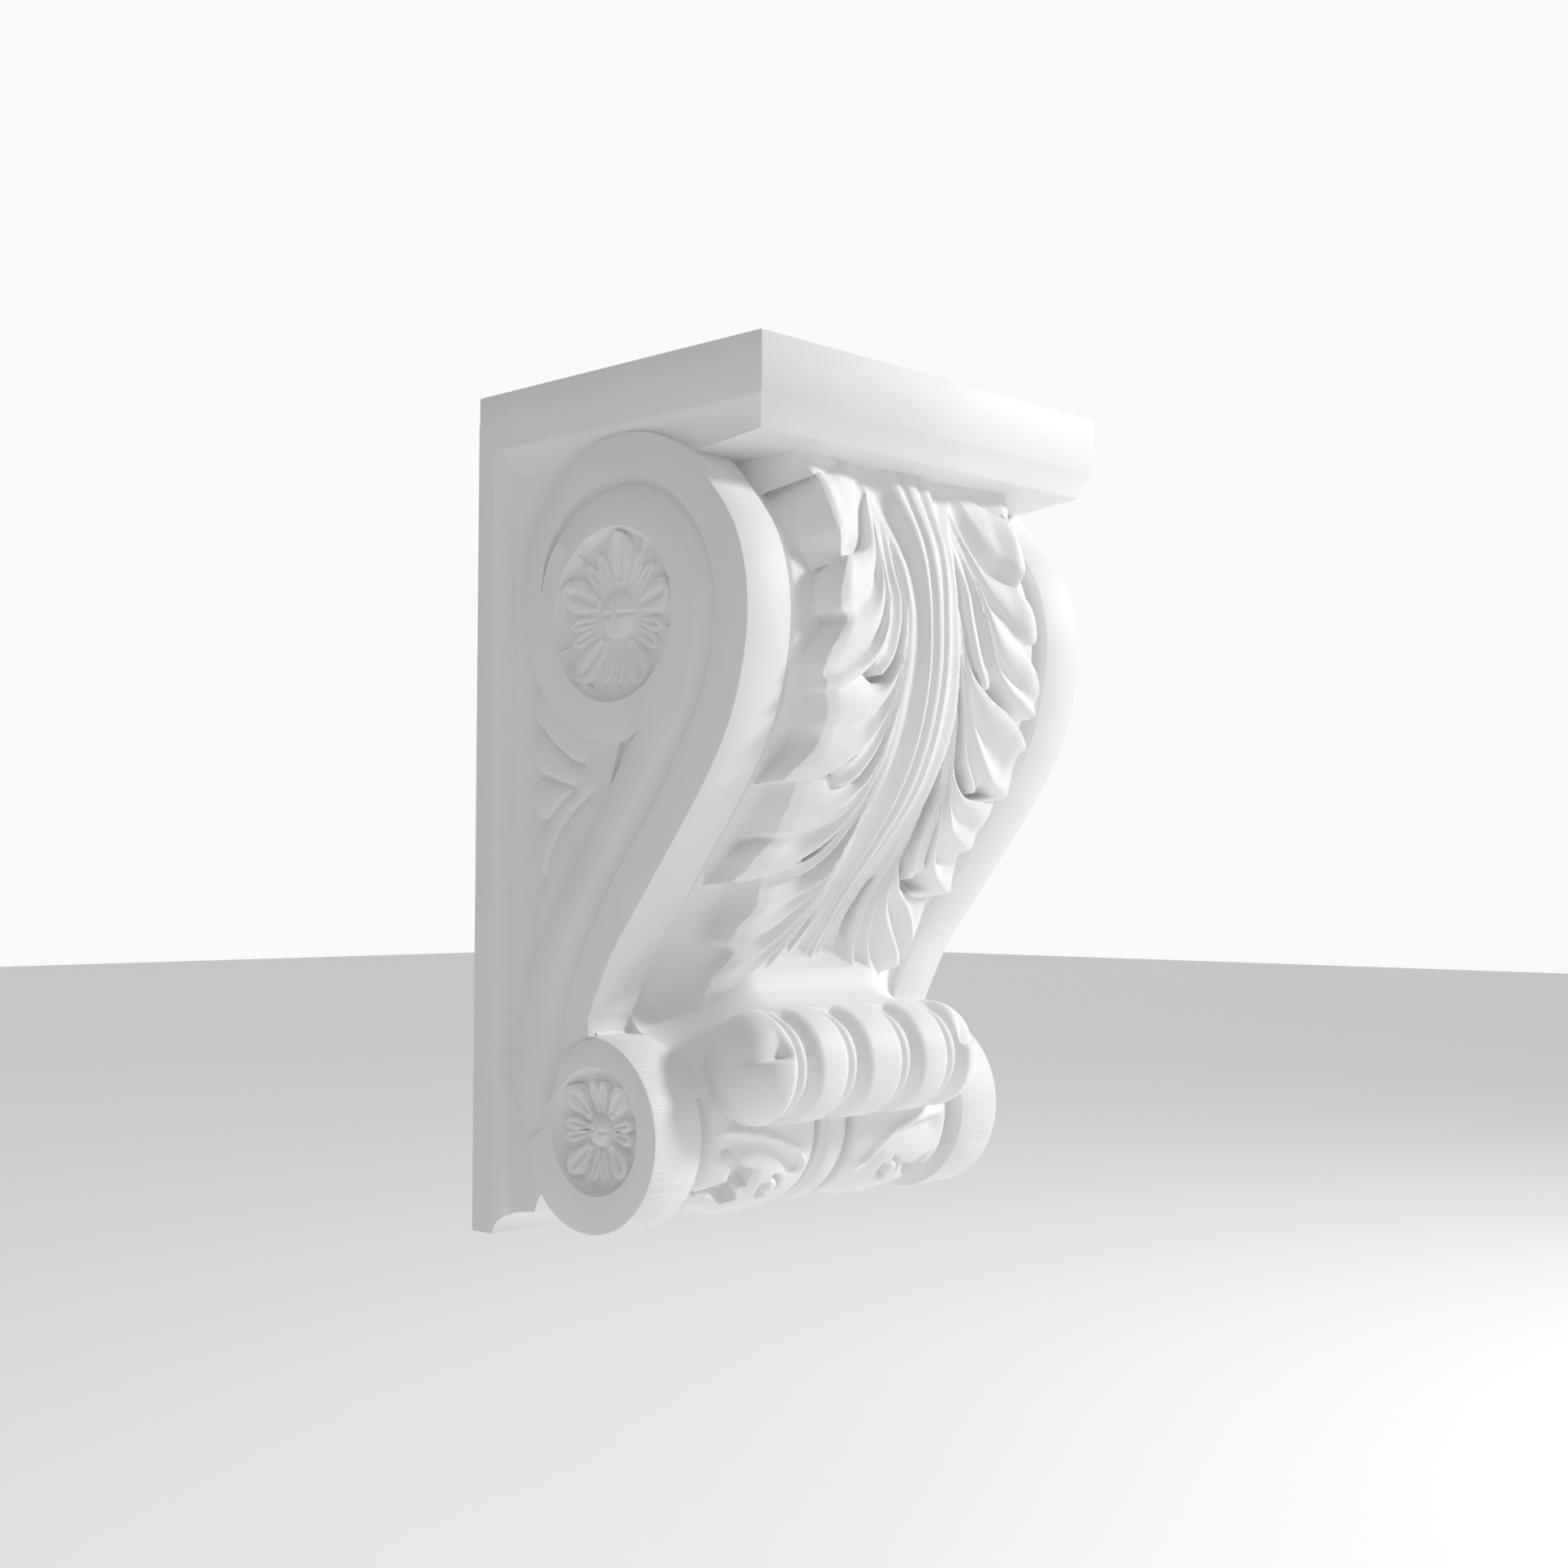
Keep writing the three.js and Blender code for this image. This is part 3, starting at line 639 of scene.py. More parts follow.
def face_lift(across, run):
    """How far the leaf's face stands out of the front, before its ribs and hollows."""
    rows = smooth_line(np.column_stack([face_runs, face_table]), 8)
    down = [np.interp(run, rows[:, 0], rows[:, 1 + k]) for k in range(len(face_across))]
    place = np.clip(np.abs(across), 0, face_across[-1])
    after = np.clip(np.searchsorted(face_across, place), 1, len(face_across) - 1)
    down = np.stack(down, -1)
    left, right = np.take(face_across, after - 1), np.take(face_across, after)
    share = (place - left) / (right - left)
    share = share * share * (3 - 2 * share) * 0.5 + share * 0.5
    low_side = np.take_along_axis(down, (after - 1)[..., None], -1)[..., 0]
    high_side = np.take_along_axis(down, after[..., None], -1)[..., 0]
    return low_side + (high_side - low_side) * share


wall_draft = {"top": (15, 7), "crown": (9, 4)}
plain_draft = (2.5, 1.2)
wall_sunk = 0.6
wall_least = 0.5
wall_root = 5
ground_line = on_front(0, np.linspace(-12, front_length, 160), -ground_depth - wall_sunk)[:, 1:]
rib_depth = 1.3
tip_drop = 0.9
root_drop = 1.2
stations = 46
steps_between = 8


def ground_out(up):
    """How far out the ground of the front panel is at each height."""
    return np.interp(up, ground_line[::-1, 1], ground_line[::-1, 0])


def fan(name, curves, side, draft):
    """A lobe: curves from root to tip, each with its rise over the leaf's face, and a smooth skin across.
    Its walls run straight back, the way that the mould draws off, with a little draft at the tip."""
    lines = np.stack([along_line(points, stations) for rise, points in curves])
    rises = np.array([rise for rise, points in curves], float)
    across = smooth_line(np.concatenate([lines.reshape(len(curves), -1), rises[:, None]], 1), steps_between)
    places = across[:, :-1].reshape(-1, stations, 2)
    share = np.linspace(0, 1, stations)
    swell = smoothstep(0.1, 0.55, share) * (1 - 0.4 * smoothstep(0.85, 1, share))
    bulge = rib_depth * across[:, -1:] * swell
    lift = face_lift(places[..., 0], places[..., 1]) + bulge
    lift = lift - tip_drop * smoothstep(0.92, 1, share) - root_drop * (1 - smoothstep(0, 0.25, share))
    top = on_front(side * places[..., 0], places[..., 1], lift)
    tip = smoothstep(0.8, 1, share)
    foot = np.minimum(places[..., 0] + draft[0] * tip, np.maximum(ground_half - wall_least, places[..., 0]))
    base_up = top[..., 2] - draft[1] * tip
    base = np.stack([side * foot, np.minimum(ground_out(base_up), top[..., 1] - wall_least), base_up], -1)
    return closed_solid(name, top, base, base - (0, wall_root, 0))


# Curves of each lobe of the right half, from root to tip, as (rise, [(across, run), ...])
lobes = {}
lobes["top"] = [
    (0.2, [(16, -8), (30, -8), (46, -8), (60, -8)]),
    (0.6, [(16, -5), (30, 0), (46, 4), (58, 6)]),
    (0.2, [(17, -3), (30, 5), (44, 12), (56, 16)]),
    (-0.8, [(18, 0), (29, 11), (40, 18), (52, 23.4)]),
]
lobes["crown"] = [
    (-1.0, [(20, -4), (30, 7), (40, 17), (50, 23)]),
    (0.4, [(20, -2), (29, 10), (39, 22), (52, 31)]),
    (0.9, [(20, 0), (28, 14), (38, 29), (51, 40)]),
    (0.9, [(20, 3), (28.5, 18), (36, 33), (49.5, 43)]),
    (-1.8, [(19.8, 6), (26.5, 22), (32, 37), (48, 46)]),
    (-3.4, [(19.6, 10), (24.6, 26), (29, 40), (47, 49)]),
]
lobes["upper"] = [
    (0.4, [(20, 12), (24, 26), (29, 39.5), (36, 45), (46, 48)]),
    (0.9, [(19.8, 13), (24, 30), (29, 43), (38, 51), (51.8, 56)]),
    (0.4, [(19.6, 14), (24.4, 34), (30, 48), (38, 56), (53.5, 65)]),
    (-1.3, [(19.4, 15), (24.6, 38), (30, 52), (37, 59.5), (48, 67.5)]),
    (0.6, [(19.2, 16), (24.6, 41), (29.5, 57), (38, 68), (54.5, 75)]),
    (0.3, [(19, 17), (24.6, 44), (29, 61), (38, 73), (58, 81.5)]),
    (-1.3, [(18.8, 18), (24.6, 47), (29, 65), (38, 76.5), (57.8, 86.5)]),
    (1.0, [(18.6, 19), (24.7, 50), (29.4, 70), (39, 81), (57, 89.5)]),
    (-0.3, [(18.5, 20), (24.8, 53), (30, 74), (40, 84.5), (55.5, 91.4)]),
]
lobes["upper_inner"] = [
    (0.8, [(18.6, 19), (24.6, 45), (25.6, 60), (29.5, 72), (33, 78)]),
    (-0.7, [(17.6, 20), (22, 46), (22.8, 60), (26.4, 73), (31, 80.6)]),
    (0.7, [(16.8, 21), (19.8, 46), (19.4, 60), (23.4, 74.5), (29.2, 82.6)]),
    (-0.2, [(16.2, 22), (18.2, 46), (17.7, 60), (21.2, 74), (27.4, 83)]),
]
lobes["second"] = [
    (0.3, [(12, 44), (14.3, 58), (18.5, 75), (28.5, 84.6), (41, 90.4), (55.5, 99.6)]),
    (0.6, [(12, 46), (14.8, 62), (20, 80), (30, 89), (43, 95), (56.4, 101.8)]),
    (-0.3, [(12, 48), (15.2, 66), (21, 84), (31, 94), (43, 100), (54.4, 104.2)]),
    (-1.5, [(12, 50), (15.8, 70), (22, 89), (31.5, 99.6), (43, 107), (56.6, 111)]),
    (1.0, [(12, 52), (16.2, 74), (22.4, 93), (32, 104.6), (43, 113), (58, 119)]),
    (-0.2, [(12, 54), (16.4, 77), (23, 96), (33, 108.6), (44, 117), (58.5, 122)]),
]
lobes["second_inner"] = [
    (0.9, [(12, 53), (16.2, 74), (22.4, 93), (31.5, 105), (40.8, 114)]),
    (-0.7, [(12, 55), (16.6, 78), (21.5, 96.5), (29, 108.5), (38.8, 117)]),
    (0.7, [(12, 57), (16.8, 82), (20.6, 98), (26.6, 109), (36.8, 118.8)]),
    (-0.3, [(12.4, 60), (16.8, 84), (19.6, 96), (24.6, 108.4), (34.6, 119)]),
]
lobes["third"] = [
    (0.3, [(13, 78), (16.4, 93), (20, 109), (30, 119.4), (42, 122), (53.4, 123.4)]),
    (0.6, [(13, 80), (17, 97), (21.4, 113), (32, 122.6), (43, 126), (54, 130)]),
    (-0.6, [(13, 82), (17.6, 101), (22.6, 117), (33, 128), (44, 133), (54, 137.5)]),
    (1.0, [(13, 84), (18, 104), (24, 121), (33, 132.4), (44, 139.6), (54.3, 143.2)]),
    (-0.6, [(13, 86), (18.2, 107), (25, 125), (34, 137), (44, 144.5), (52, 147)]),
    (-2.0, [(13, 88), (18.4, 110), (25.6, 129), (35, 143), (45, 151), (57, 154.5)]),
    (1.2, [(13, 90), (18.4, 112), (25.6, 132), (34.6, 147), (46, 157.6), (58.8, 163.6)]),
    (-0.2, [(13, 92), (18.6, 114), (26.4, 137), (36, 153.6), (46, 162), (58, 166.2)]),
]
lobes["third_inner"] = [
    (0.9, [(13, 90), (18.2, 112), (23.6, 132), (28.8, 146), (36.4, 155)]),
    (-0.8, [(13.4, 94), (18.2, 115), (21.6, 132), (26, 146), (34, 156.4)]),
    (0.8, [(13.6, 98), (18.4, 117), (20.2, 132), (23.4, 145), (31.6, 157.6)]),
    (-0.2, [(13.8, 102), (18.4, 119), (19.2, 131), (21.4, 144), (29.4, 158)]),
]
lobes["fourth"] = [
    (-2.6, [(12, 110), (15.4, 128), (16.4, 148), (25, 160), (38, 167.4), (49, 168.5)]),
    (0.9, [(12, 112), (15.6, 131), (17, 151), (25.5, 162), (37, 171), (48, 184), (53, 194.6)]),
    (-1.3, [(12, 114), (15.6, 134), (17.6, 156), (26, 168), (36, 178), (45, 187.6), (52, 196.8)]),
    (1.0, [(12, 116), (15.6, 138), (18, 160), (26, 174), (35, 183), (43, 190.6), (50.5, 199.6)]),
    (-1.1, [(12, 118), (15, 140), (17.4, 163), (24.4, 180), (32, 190.6), (38, 198), (43, 203.6)]),
    (0.8, [(12, 120), (14.6, 142), (16.2, 165), (22.4, 182), (29.6, 193.6), (34, 200), (38, 205)]),
    (-0.9, [(12, 122), (14, 144), (15, 167), (20, 184), (26.4, 196.6), (29, 202), (32, 206.6)]),
    (0.7, [(12, 124), (13, 146), (13.4, 168), (17.4, 185), (22.4, 196), (26, 202), (29, 207)]),
    (-0.3, [(11.6, 128), (11.6, 148), (11.4, 168), (14.6, 184), (19, 193), (23, 199.6), (27, 206)]),
]
lobes["tail"] = [
    (0.3, [(6, 150), (6.6, 166), (8.6, 180), (12, 191.6), (18, 200.6), (30, 209), (44, 209)]),
    (0.3, [(5.6, 154), (6, 170), (7.6, 184), (11, 196), (17, 206), (30, 213), (46, 214)]),
    (-0.2, [(5, 158), (5, 174), (6, 190), (9, 203), (16, 212), (30, 217), (50, 218)]),
    (0.0, [(0, 160), (0, 178), (0, 196), (4, 212), (14, 219), (30, 222), (54, 222)]),
]
# The left half was carved by another stroke: its lobes sit higher and touch, with small eyes between them.
left_lobes = {}
left_lobes["second"] = [
    (-2.6, [(12, 44), (14.3, 58), (18.5, 75), (24, 83.5), (31, 85), (38, 82), (50, 83), (56, 88)]),
    (0.5, [(12, 46), (14.8, 62), (19.6, 78), (26, 86), (33, 89), (42, 89.4), (55, 94)]),
    (0.6, [(12, 48), (15.2, 66), (21, 83), (28, 91), (35, 94.4), (44, 95.4), (54.8, 98)]),
    (-1.5, [(12, 50), (15.8, 70), (22, 87), (30, 96), (38, 100), (46, 101.6), (53, 104)]),
    (0.9, [(12, 52), (16.2, 74), (22.4, 91.6), (31, 102), (40, 106.6), (49, 108.6), (58, 110.6)]),
    (0.2, [(12, 53), (16.3, 76), (22.8, 94), (31.6, 104.6), (40, 110), (50, 113.6), (60.4, 115)]),
    (-0.5, [(12, 54), (16.4, 77), (23, 95.5), (32, 106.6), (40, 112.4), (47, 117), (61.4, 119)]),
]
left_lobes["second_inner"] = [
    (0.7, [(12, 53), (16.2, 74), (22.4, 92.4), (31.5, 104), (39.4, 112)]),
    (-0.7, [(12, 55), (16.6, 78), (21.8, 95), (29, 107), (37.4, 115.4)]),
    (0.7, [(12, 57), (16.8, 82), (21.2, 97.6), (27, 109), (35, 118)]),
    (-0.3, [(12.4, 60), (17, 84), (20.4, 97), (24.6, 109), (31, 118.4)]),
]
left_lobes["third"] = [
    (-2.6, [(13, 78), (16.4, 93), (20, 108), (26, 117), (35, 119), (43, 115.6), (54.6, 117)]),
    (0.6, [(13, 80), (17, 97), (21.4, 112), (29, 121), (37, 124), (46, 125), (55, 128)]),
    (0.3, [(13, 82), (17.6, 101), (22.6, 116), (30, 126), (38, 129.6), (46, 131), (54.8, 134)]),
    (0.9, [(13, 84), (18, 104), (24, 120), (31, 130), (38, 134), (46, 136), (54.2, 138.6)]),
    (-1.6, [(13, 86), (18.2, 107), (25, 125), (33, 136), (41, 140), (51, 141.6)]),
    (0.5, [(13, 88), (18.4, 110), (25.6, 129), (34, 141), (42, 146), (55.6, 147)]),
    (1.1, [(13, 90), (18.4, 112), (25.6, 132), (34, 145), (43, 151), (57.4, 155.4)]),
    (-0.4, [(13, 92), (18.6, 114), (26, 136), (34, 149.6), (42, 157), (59.2, 161.4)]),
]
left_lobes["third_inner"] = [
    (0.8, [(13, 90), (18.2, 112), (23.6, 131), (29, 144), (37, 153.4)]),
    (-0.8, [(13.4, 94), (18.2, 115), (21.8, 132), (26.6, 145), (34, 155)]),
    (0.7, [(13.6, 98), (18.4, 117), (20.6, 132), (24.6, 145), (31.4, 156.6)]),
    (-0.2, [(13.8, 102), (18.4, 119), (19.6, 131), (22.4, 144), (28.6, 157)]),
]
left_lobes["fourth"] = [
    (-2.8, [(12, 110), (15.4, 128), (16.4, 146), (24, 155.6), (31, 157.6), (44, 156)]),
    (0.8, [(12, 112), (15.6, 131), (17, 150), (25, 160.6), (35, 166), (45, 170.4)]),
    (-0.4, [(12, 113), (15.6, 133), (17.4, 153), (26, 165), (36, 172.6), (47.4, 177.6)]),
    (0.9, [(12, 114), (15.6, 135), (17.8, 157), (26, 170), (36, 179), (49, 184.4)]),
    (-1.6, [(12, 116), (15.4, 138), (17.6, 160), (25, 175), (33, 184), (42, 190)]),
    (0.9, [(12, 118), (15, 140), (17, 163), (23.6, 178.6), (32, 189), (44.6, 195.4)]),
    (-0.4, [(12, 120), (14.6, 142), (16.2, 165), (21.8, 182), (31, 194), (47.6, 203)]),
    (0.9, [(12, 121), (14.2, 143), (15.6, 166), (20.4, 184), (30, 198.6), (49.4, 210)]),
    (-0.8, [(12, 122), (14, 144), (15, 167), (19, 185.6), (28, 201), (48.4, 216.6)]),
    (0.7, [(12, 124), (13, 146), (13.4, 168), (17, 186), (25, 201), (38, 213)]),
    (-0.3, [(11.6, 128), (11.6, 148), (11.4, 168), (14.6, 185), (20, 197), (26, 207)]),
]
left_lean = 0.045
for name, curves in lobes.items():
    draft = wall_draft.get(name, plain_draft)
    carving.append(fan(f"{name}_right", curves, 1, draft))
    leaning = [(rise, [(x, run - left_lean * x) for x, run in points]) for rise, points in curves]
    carving.append(fan(f"{name}_left", left_lobes.get(name, leaning), -1, draft))

# Stem of the leaf
# Three round ribs run down the middle from under the soffit, wide at the top and narrow at the waist, with
# a hollow on each side that rises to the rim of the slots.

stem_runs = [-9, 15, 30, 45, 60, 90, 120, 135, 150, 160, 180, 200, 222]
stem_half = [13.5, 12, 9.4, 8, 7, 6.8, 6.8, 6, 4.8, 4.2, 4, 4.6, 6]
rim_half = [28, 25, 20, 16, 14.3, 16.2, 15.4, 15.4, 14, 9.5, 8.6, 14, 20]
runs = np.linspace(stem_runs[0], stem_runs[-1], 180)
crest_half = np.interp(runs, stem_runs, stem_half)
rim = np.interp(runs, stem_runs, rim_half)
crest = face_lift(0 * runs, runs)
hollow = face_lift((crest_half + rim) / 2, runs) - 1
rim_lift = face_lift(rim, runs)
stem_points = [
    (0 * runs, crest + 0.9), (0.2 * crest_half, crest + 0.6), (0.38 * crest_half, crest - 0.8),
    (0.56 * crest_half, crest + 0.1), (0.76 * crest_half, crest + 0.4), (0.98 * crest_half, crest - 1),
    (crest_half + 0.16 * (rim - crest_half), 0.5 * crest + 0.5 * hollow - 0.8),
    (crest_half + 0.42 * (rim - crest_half), hollow),
    (crest_half + 0.72 * (rim - crest_half), hollow + 0.5),
    (rim - 0.8, rim_lift - 0.3), (rim, rim_lift - 1),
]
stem_places = np.stack([np.stack(point, -1) for point in stem_points])
stem_across = smooth_line(stem_places.reshape(len(stem_points), -1), 4).reshape(-1, len(runs), 2)
stem_across = np.concatenate([stem_across[::-1] * (-1, 1), stem_across[1:]])
stem_top = on_front(stem_across[..., 0], runs[None, :], stem_across[..., 1])
stem_base = on_front(stem_across[..., 0], runs[None, :], carving_base + 1)
carving.append(closed_solid("stem", stem_top, stem_base))

# Rolled tip
# The leaf's tip rolls forward into a thick scroll that lies across the front. Round ribs with a bead
# between each two run round it, and both ends are full and round with a pointed nick.

roll = {"out": 98, "up": 61, "radius": 20}
roll_half = 62.8
beads = (14.3, 39.7)
bead_half = 2.4
bead_sink = 5.2
bead_rise = 2.7
shoulder = 8.2
flank_power = 1.2
end_start = 41
end_power = 2.6
nick_places = [44, 48.5, 56, 62.8]
nick_depths = [0, 6.5, 3.5, 0.3]
nick_angle = 1.26
nick_above, nick_below = 0.42, 0.07
nick_power = 1.4
bead_fade = (-0.25, 0.35)
row_ease, row_evenness = 0.35, 0.65
roll_rows, roll_columns = 190, 220


def roll_radius(across, angle):
    place = np.abs(across)
    sink = np.zeros(np.broadcast(place, angle).shape)
    for bead in beads:
        apart = np.abs(place - bead)
        flank = bead_sink * (1 - smoothstep(0, shoulder, apart)) ** flank_power
        dome = bead_sink - bead_rise * np.sqrt(np.clip(1 - (apart / bead_half) ** 2, 0, 1))
        sink = np.maximum(sink, np.where(apart < bead_half, dome, flank))
    end = np.clip((place - end_start) / (roll_half - end_start), 0, 1)
    full = np.sqrt(np.clip(1 - end ** end_power, 0, 1))
    nick = np.interp(place, nick_places, nick_depths)
    above = np.exp(-np.abs((angle - nick_angle) / nick_above) ** nick_power)
    below = np.exp(-((angle - nick_angle) / nick_below) ** 2)
    nick_sink = nick * np.where(angle < nick_angle, above, below)
    fade = smoothstep(*bead_fade, angle)
    return (roll["radius"] - sink * fade) * full - nick_sink * full ** 0.5 + 0.02


eased_rows = np.sin(np.linspace(-math.pi / 2, math.pi / 2, roll_rows)) * row_ease
rows = eased_rows + np.linspace(-1, 1, roll_rows) * row_evenness
across = (rows * roll_half)[:, None]
angle = np.linspace(-math.pi, math.pi, roll_columns, endpoint=False)[None, :]
radii = roll_radius(across, angle)
skin = np.stack([across + 0 * radii, roll["out"] + radii * np.sin(angle),
                 roll["up"] + radii * np.cos(angle)], -1)


def lathe(name, rings):
    """A closed solid through rings, with each end closed."""
    count = rings.shape[1]
    index = np.arange(rings.shape[0] * count).reshape(rings.shape[:2])
    ring = np.concatenate([index, index[:, :1]], 1)
    faces = quads_of(ring).tolist() + [index[0].tolist(), index[-1][::-1].tolist()]
    return mesh_solid(name, rings.reshape(-1, 3), faces)


carving.append(lathe("rolled_tip", skin))

# The tray where the leaf bends out into the roll, and the smooth cheek on each side of it that falls to the
# groove and behind the end of the roll: (run, lift) on the front, then side points.
tray_on_front = on_front(0, [172, 179, 185, 190, 195, 199], [-6, -1, 3.4, 6.5, 8.8, 10.8])[:, 1:]
tray_to_roll = [(82.4, 86.6), (86.4, 83.2), (92, 81.2), (99, 80.6), (101, 72), (100, 62)]
cheek_foot = [(61, 84), (61.5, 78), (66, 72.6), (75, 68.5), (82, 60), (87, 50)]
tray_edge = [30, 30, 30, 30, 30, 29, 28, 28, 30, 34, 40, 42]
tray_steps = 110
cheek_steps = 34
neck_half = band_inner + 0.6
neck_thickness = 7
tray_foot = np.stack([ground_out(tray_on_front[:, 1]), tray_on_front[:, 1]], -1)
tray = along_line(np.column_stack([np.vstack([tray_on_front, tray_to_roll]),
                                   np.vstack([tray_foot, cheek_foot]), tray_edge]), tray_steps)
level = np.linspace(0, 1, cheek_steps)
cheek = smoothstep(0, 1, level)
edge_across = tray[:, 4:] + (neck_half - tray[:, 4:]) * level
half_top = np.concatenate([edge_across[..., None], tray[:, None, :2]
                           + (tray[:, 2:4] - tray[:, :2])[:, None] * cheek[:, None]], -1)
neck_top = np.concatenate([half_top[:, ::-1] * (-1, 1, 1), half_top], 1)
neck_base = neck_top.copy()
neck_base[..., 1:] = (tray[:, 2:4] - (neck_thickness, 0))[:, None]
carving.append(closed_solid("neck", neck_top, neck_base))
neck_root = [(50, 82), (58, 82), (60.2, 77), (62, 73.8), (66, 71), (66, 62), (50, 62)]
carving.append(plate("neck_root", neck_root, -neck_half, neck_half))

# Curled leaves between the drums
# Under the roll the two drums are joined by a round core. A broad rib runs round it in the middle, and on
# each side half a leaf curls round with a raised fillet, a torn slot and a small bead for its eye.

core_radius = 24.8
leaf_rise = 7.4
curl_start, curl_end = 40, 240
slot_outlines = {
    -1: [(-57, 101), (-52, 100), (-49, 105), (-46, 112), (-40, 114.5), (-40, 127), (-44, 130), (-40, 140),
         (-45, 146), (-54, 136), (-60, 137), (-64, 133), (-57, 127), (-51, 122), (-51, 113), (-55, 108)],
    1: [(43, 127), (48, 129.5), (54, 127), (58, 124), (60, 131), (62, 139), (66, 146), (60, 152), (52, 146),
        (47, 138)],
}
bead_places = {-1: (-28, 131), 1: (36, 130)}
fillets = {
    -1: [(-60, 87), (-48, 90), (-38, 93), (-29, 98), (-20, 106), (-14, 116), (-12, 124)],
    1: [(62, 91), (50, 92.5), (40, 95), (30, 100), (22, 112), (18, 122), (16, 130)],
}
degree_span = 0.54
rib_half = (6.4, 8.4)
rib_rise, rib_belly = 6.6, 0.5
rib_cut = {"place": 5.4, "width": 1.3, "depth": 1.5}
leaf_outer, leaf_outer_shift = 64, 22
leaf_inner, leaf_inner_shift = 9.2, 14
leaf_edge = 1.3
leaf_crown, leaf_wave = 2.6, 0.8
fillet_rise, fillet_width = 1.7, 1.5
under_fillet = 2.2
bead_ring = {"radius": 4.3, "width": 1.0, "depth": 4}
bead_dome, bead_size = 1.2, 3.4
slot_depth, slot_soft, slot_width = 7, 0.8, 2.2
curl_rows, curl_columns = 300, 240
curl_root = 20.0


def on_drum(across, degrees, radius):
    angle = np.radians(degrees)
    across, angle, radius = np.broadcast_arrays(across, angle, radius)
    return np.stack([across, lower_eye["out"] + radius * np.sin(angle),
                     lower_eye["up"] + radius * np.cos(angle)], -1)


def curl_radius(across, degrees):
    across, degrees = np.broadcast_arrays(across, degrees)
    place, turn = np.abs(across), degrees * degree_span
    rib = 1 - smoothstep(*rib_half, place)
    cut = rib_cut["depth"] * np.exp(-((place - rib_cut["place"]) / rib_cut["width"]) ** 2)
    radius = core_radius + rib * (rib_rise - cut - rib_belly * (place / 6) ** 2)
    for side in (-1, 1):
        out_edge = leaf_outer - leaf_outer_shift * smoothstep(140, 195, degrees)
        in_edge = leaf_inner + leaf_inner_shift * smoothstep(150, 205, degrees)
        leaf = smoothstep(in_edge, in_edge + leaf_edge, side * across)
        leaf = leaf * (1 - smoothstep(out_edge - leaf_edge, out_edge, side * across))
        middle = (side * across - in_edge) / (out_edge - in_edge)
        surface = leaf_rise - leaf_crown * (2 * middle - 1) ** 2 + leaf_wave * np.cos((degrees - 120) / 30)
        fillet = [(x, a * degree_span) for x, a in fillets[side]]
        apart, along = apart_from(across, turn, fillet)
        crest = smoothstep(0, 0.12, along) * (1 - smoothstep(0.75, 1, along))
        surface = surface + fillet_rise * crest * np.exp(-(apart / fillet_width) ** 2)
        fillet_turn = np.interp(side * across, sorted(side * x for x, a in fillet), [
            a for x, a in sorted((side * x, a) for x, a in fillet)])
        under = smoothstep(0.6, 3, turn - fillet_turn) * (1 - smoothstep(4, 12, turn - fillet_turn))
        surface = surface - under_fillet * under * crest
        bead_x, bead_turn = bead_places[side]
        bead_apart = np.hypot(across - bead_x, turn - bead_turn * degree_span)
        facing = (across - bead_x) * 0.8 - (turn - bead_turn * degree_span) * 0.6
        facing = np.abs(facing / np.maximum(bead_apart, 0.1))
        ring = np.exp(-((bead_apart - bead_ring["radius"]) / bead_ring["width"]) ** 2)
        surface = surface - bead_ring["depth"] * ring * smoothstep(0.25, 0.6, facing)
        surface = surface + bead_dome * np.sqrt(np.clip(1 - (bead_apart / bead_size) ** 2, 0, 1))
        outline = [(x, a * degree_span) for x, a in slot_outlines[side]]
        edge, _ = apart_from(across, turn, outline + outline[:1])
        signed = np.where(inside(across, turn, outline), edge, -edge)
        softened = slot_soft * np.exp(-(signed / slot_width) ** 2) * (signed < 0)
        surface = surface - slot_depth * smoothstep(-0.1, 0.9, signed) - softened
        curled = np.maximum(radius, core_radius + leaf * np.maximum(surface, 0))
        radius = np.where(side * across > 0, curled, radius)
    return radius


curl_across = np.linspace(-band_inner - carving_lap, band_inner + carving_lap, curl_rows)[:, None]
curl_turn = np.linspace(curl_start, curl_end, curl_columns)[None, :]
curl_top = on_drum(curl_across, curl_turn, curl_radius(curl_across, curl_turn))
curl_base = on_drum(curl_across, curl_turn, np.full((curl_rows, curl_columns), curl_root))
carving.append(closed_solid("curled_leaves", curl_top, curl_base))

# One skin over the carving
# The lobes, stem, roll and curls are run together and softened, as they are in the cast, and the result
# is joined to the plain body, so that the corbel is one solid.

skin_step = 0.55
carving_faces = 112000
smooth_turn = 38

deselect()
for solid in carving:
    solid.select_set(True)
ornament = carving[0]
bpy.context.view_layer.objects.active = ornament
bpy.ops.object.join()
ornament.data.remesh_voxel_size = skin_step * mm
ornament.data.remesh_voxel_adaptivity = 0
bpy.ops.object.voxel_remesh()
apply_modifier(ornament, "SMOOTH", factor=0.5, iterations=2)
apply_modifier(ornament, "TRIANGULATE")
apply_modifier(ornament, "DECIMATE", ratio=min(1, carving_faces / len(ornament.data.polygons)))
combine(corbel, ornament)
apply_modifier(corbel, "TRIANGULATE")
corbel.name = "corbel_casting"
take(corbel)
bpy.ops.object.shade_smooth_by_angle(angle=math.radians(smooth_turn))

# White primer
# The casting comes from the maker primed, ready for paint: a smooth matt white coat, sprayed on, with very
# slight clouds and a fine grain.

primer = bpy.data.materials.new("white_primer")
primer.use_nodes = True
nodes, links = primer.node_tree.nodes, primer.node_tree.links
shader = nodes["Principled BSDF"]
shader.inputs["Roughness"].default_value = 0.6
coordinates = nodes.new("ShaderNodeTexCoord")


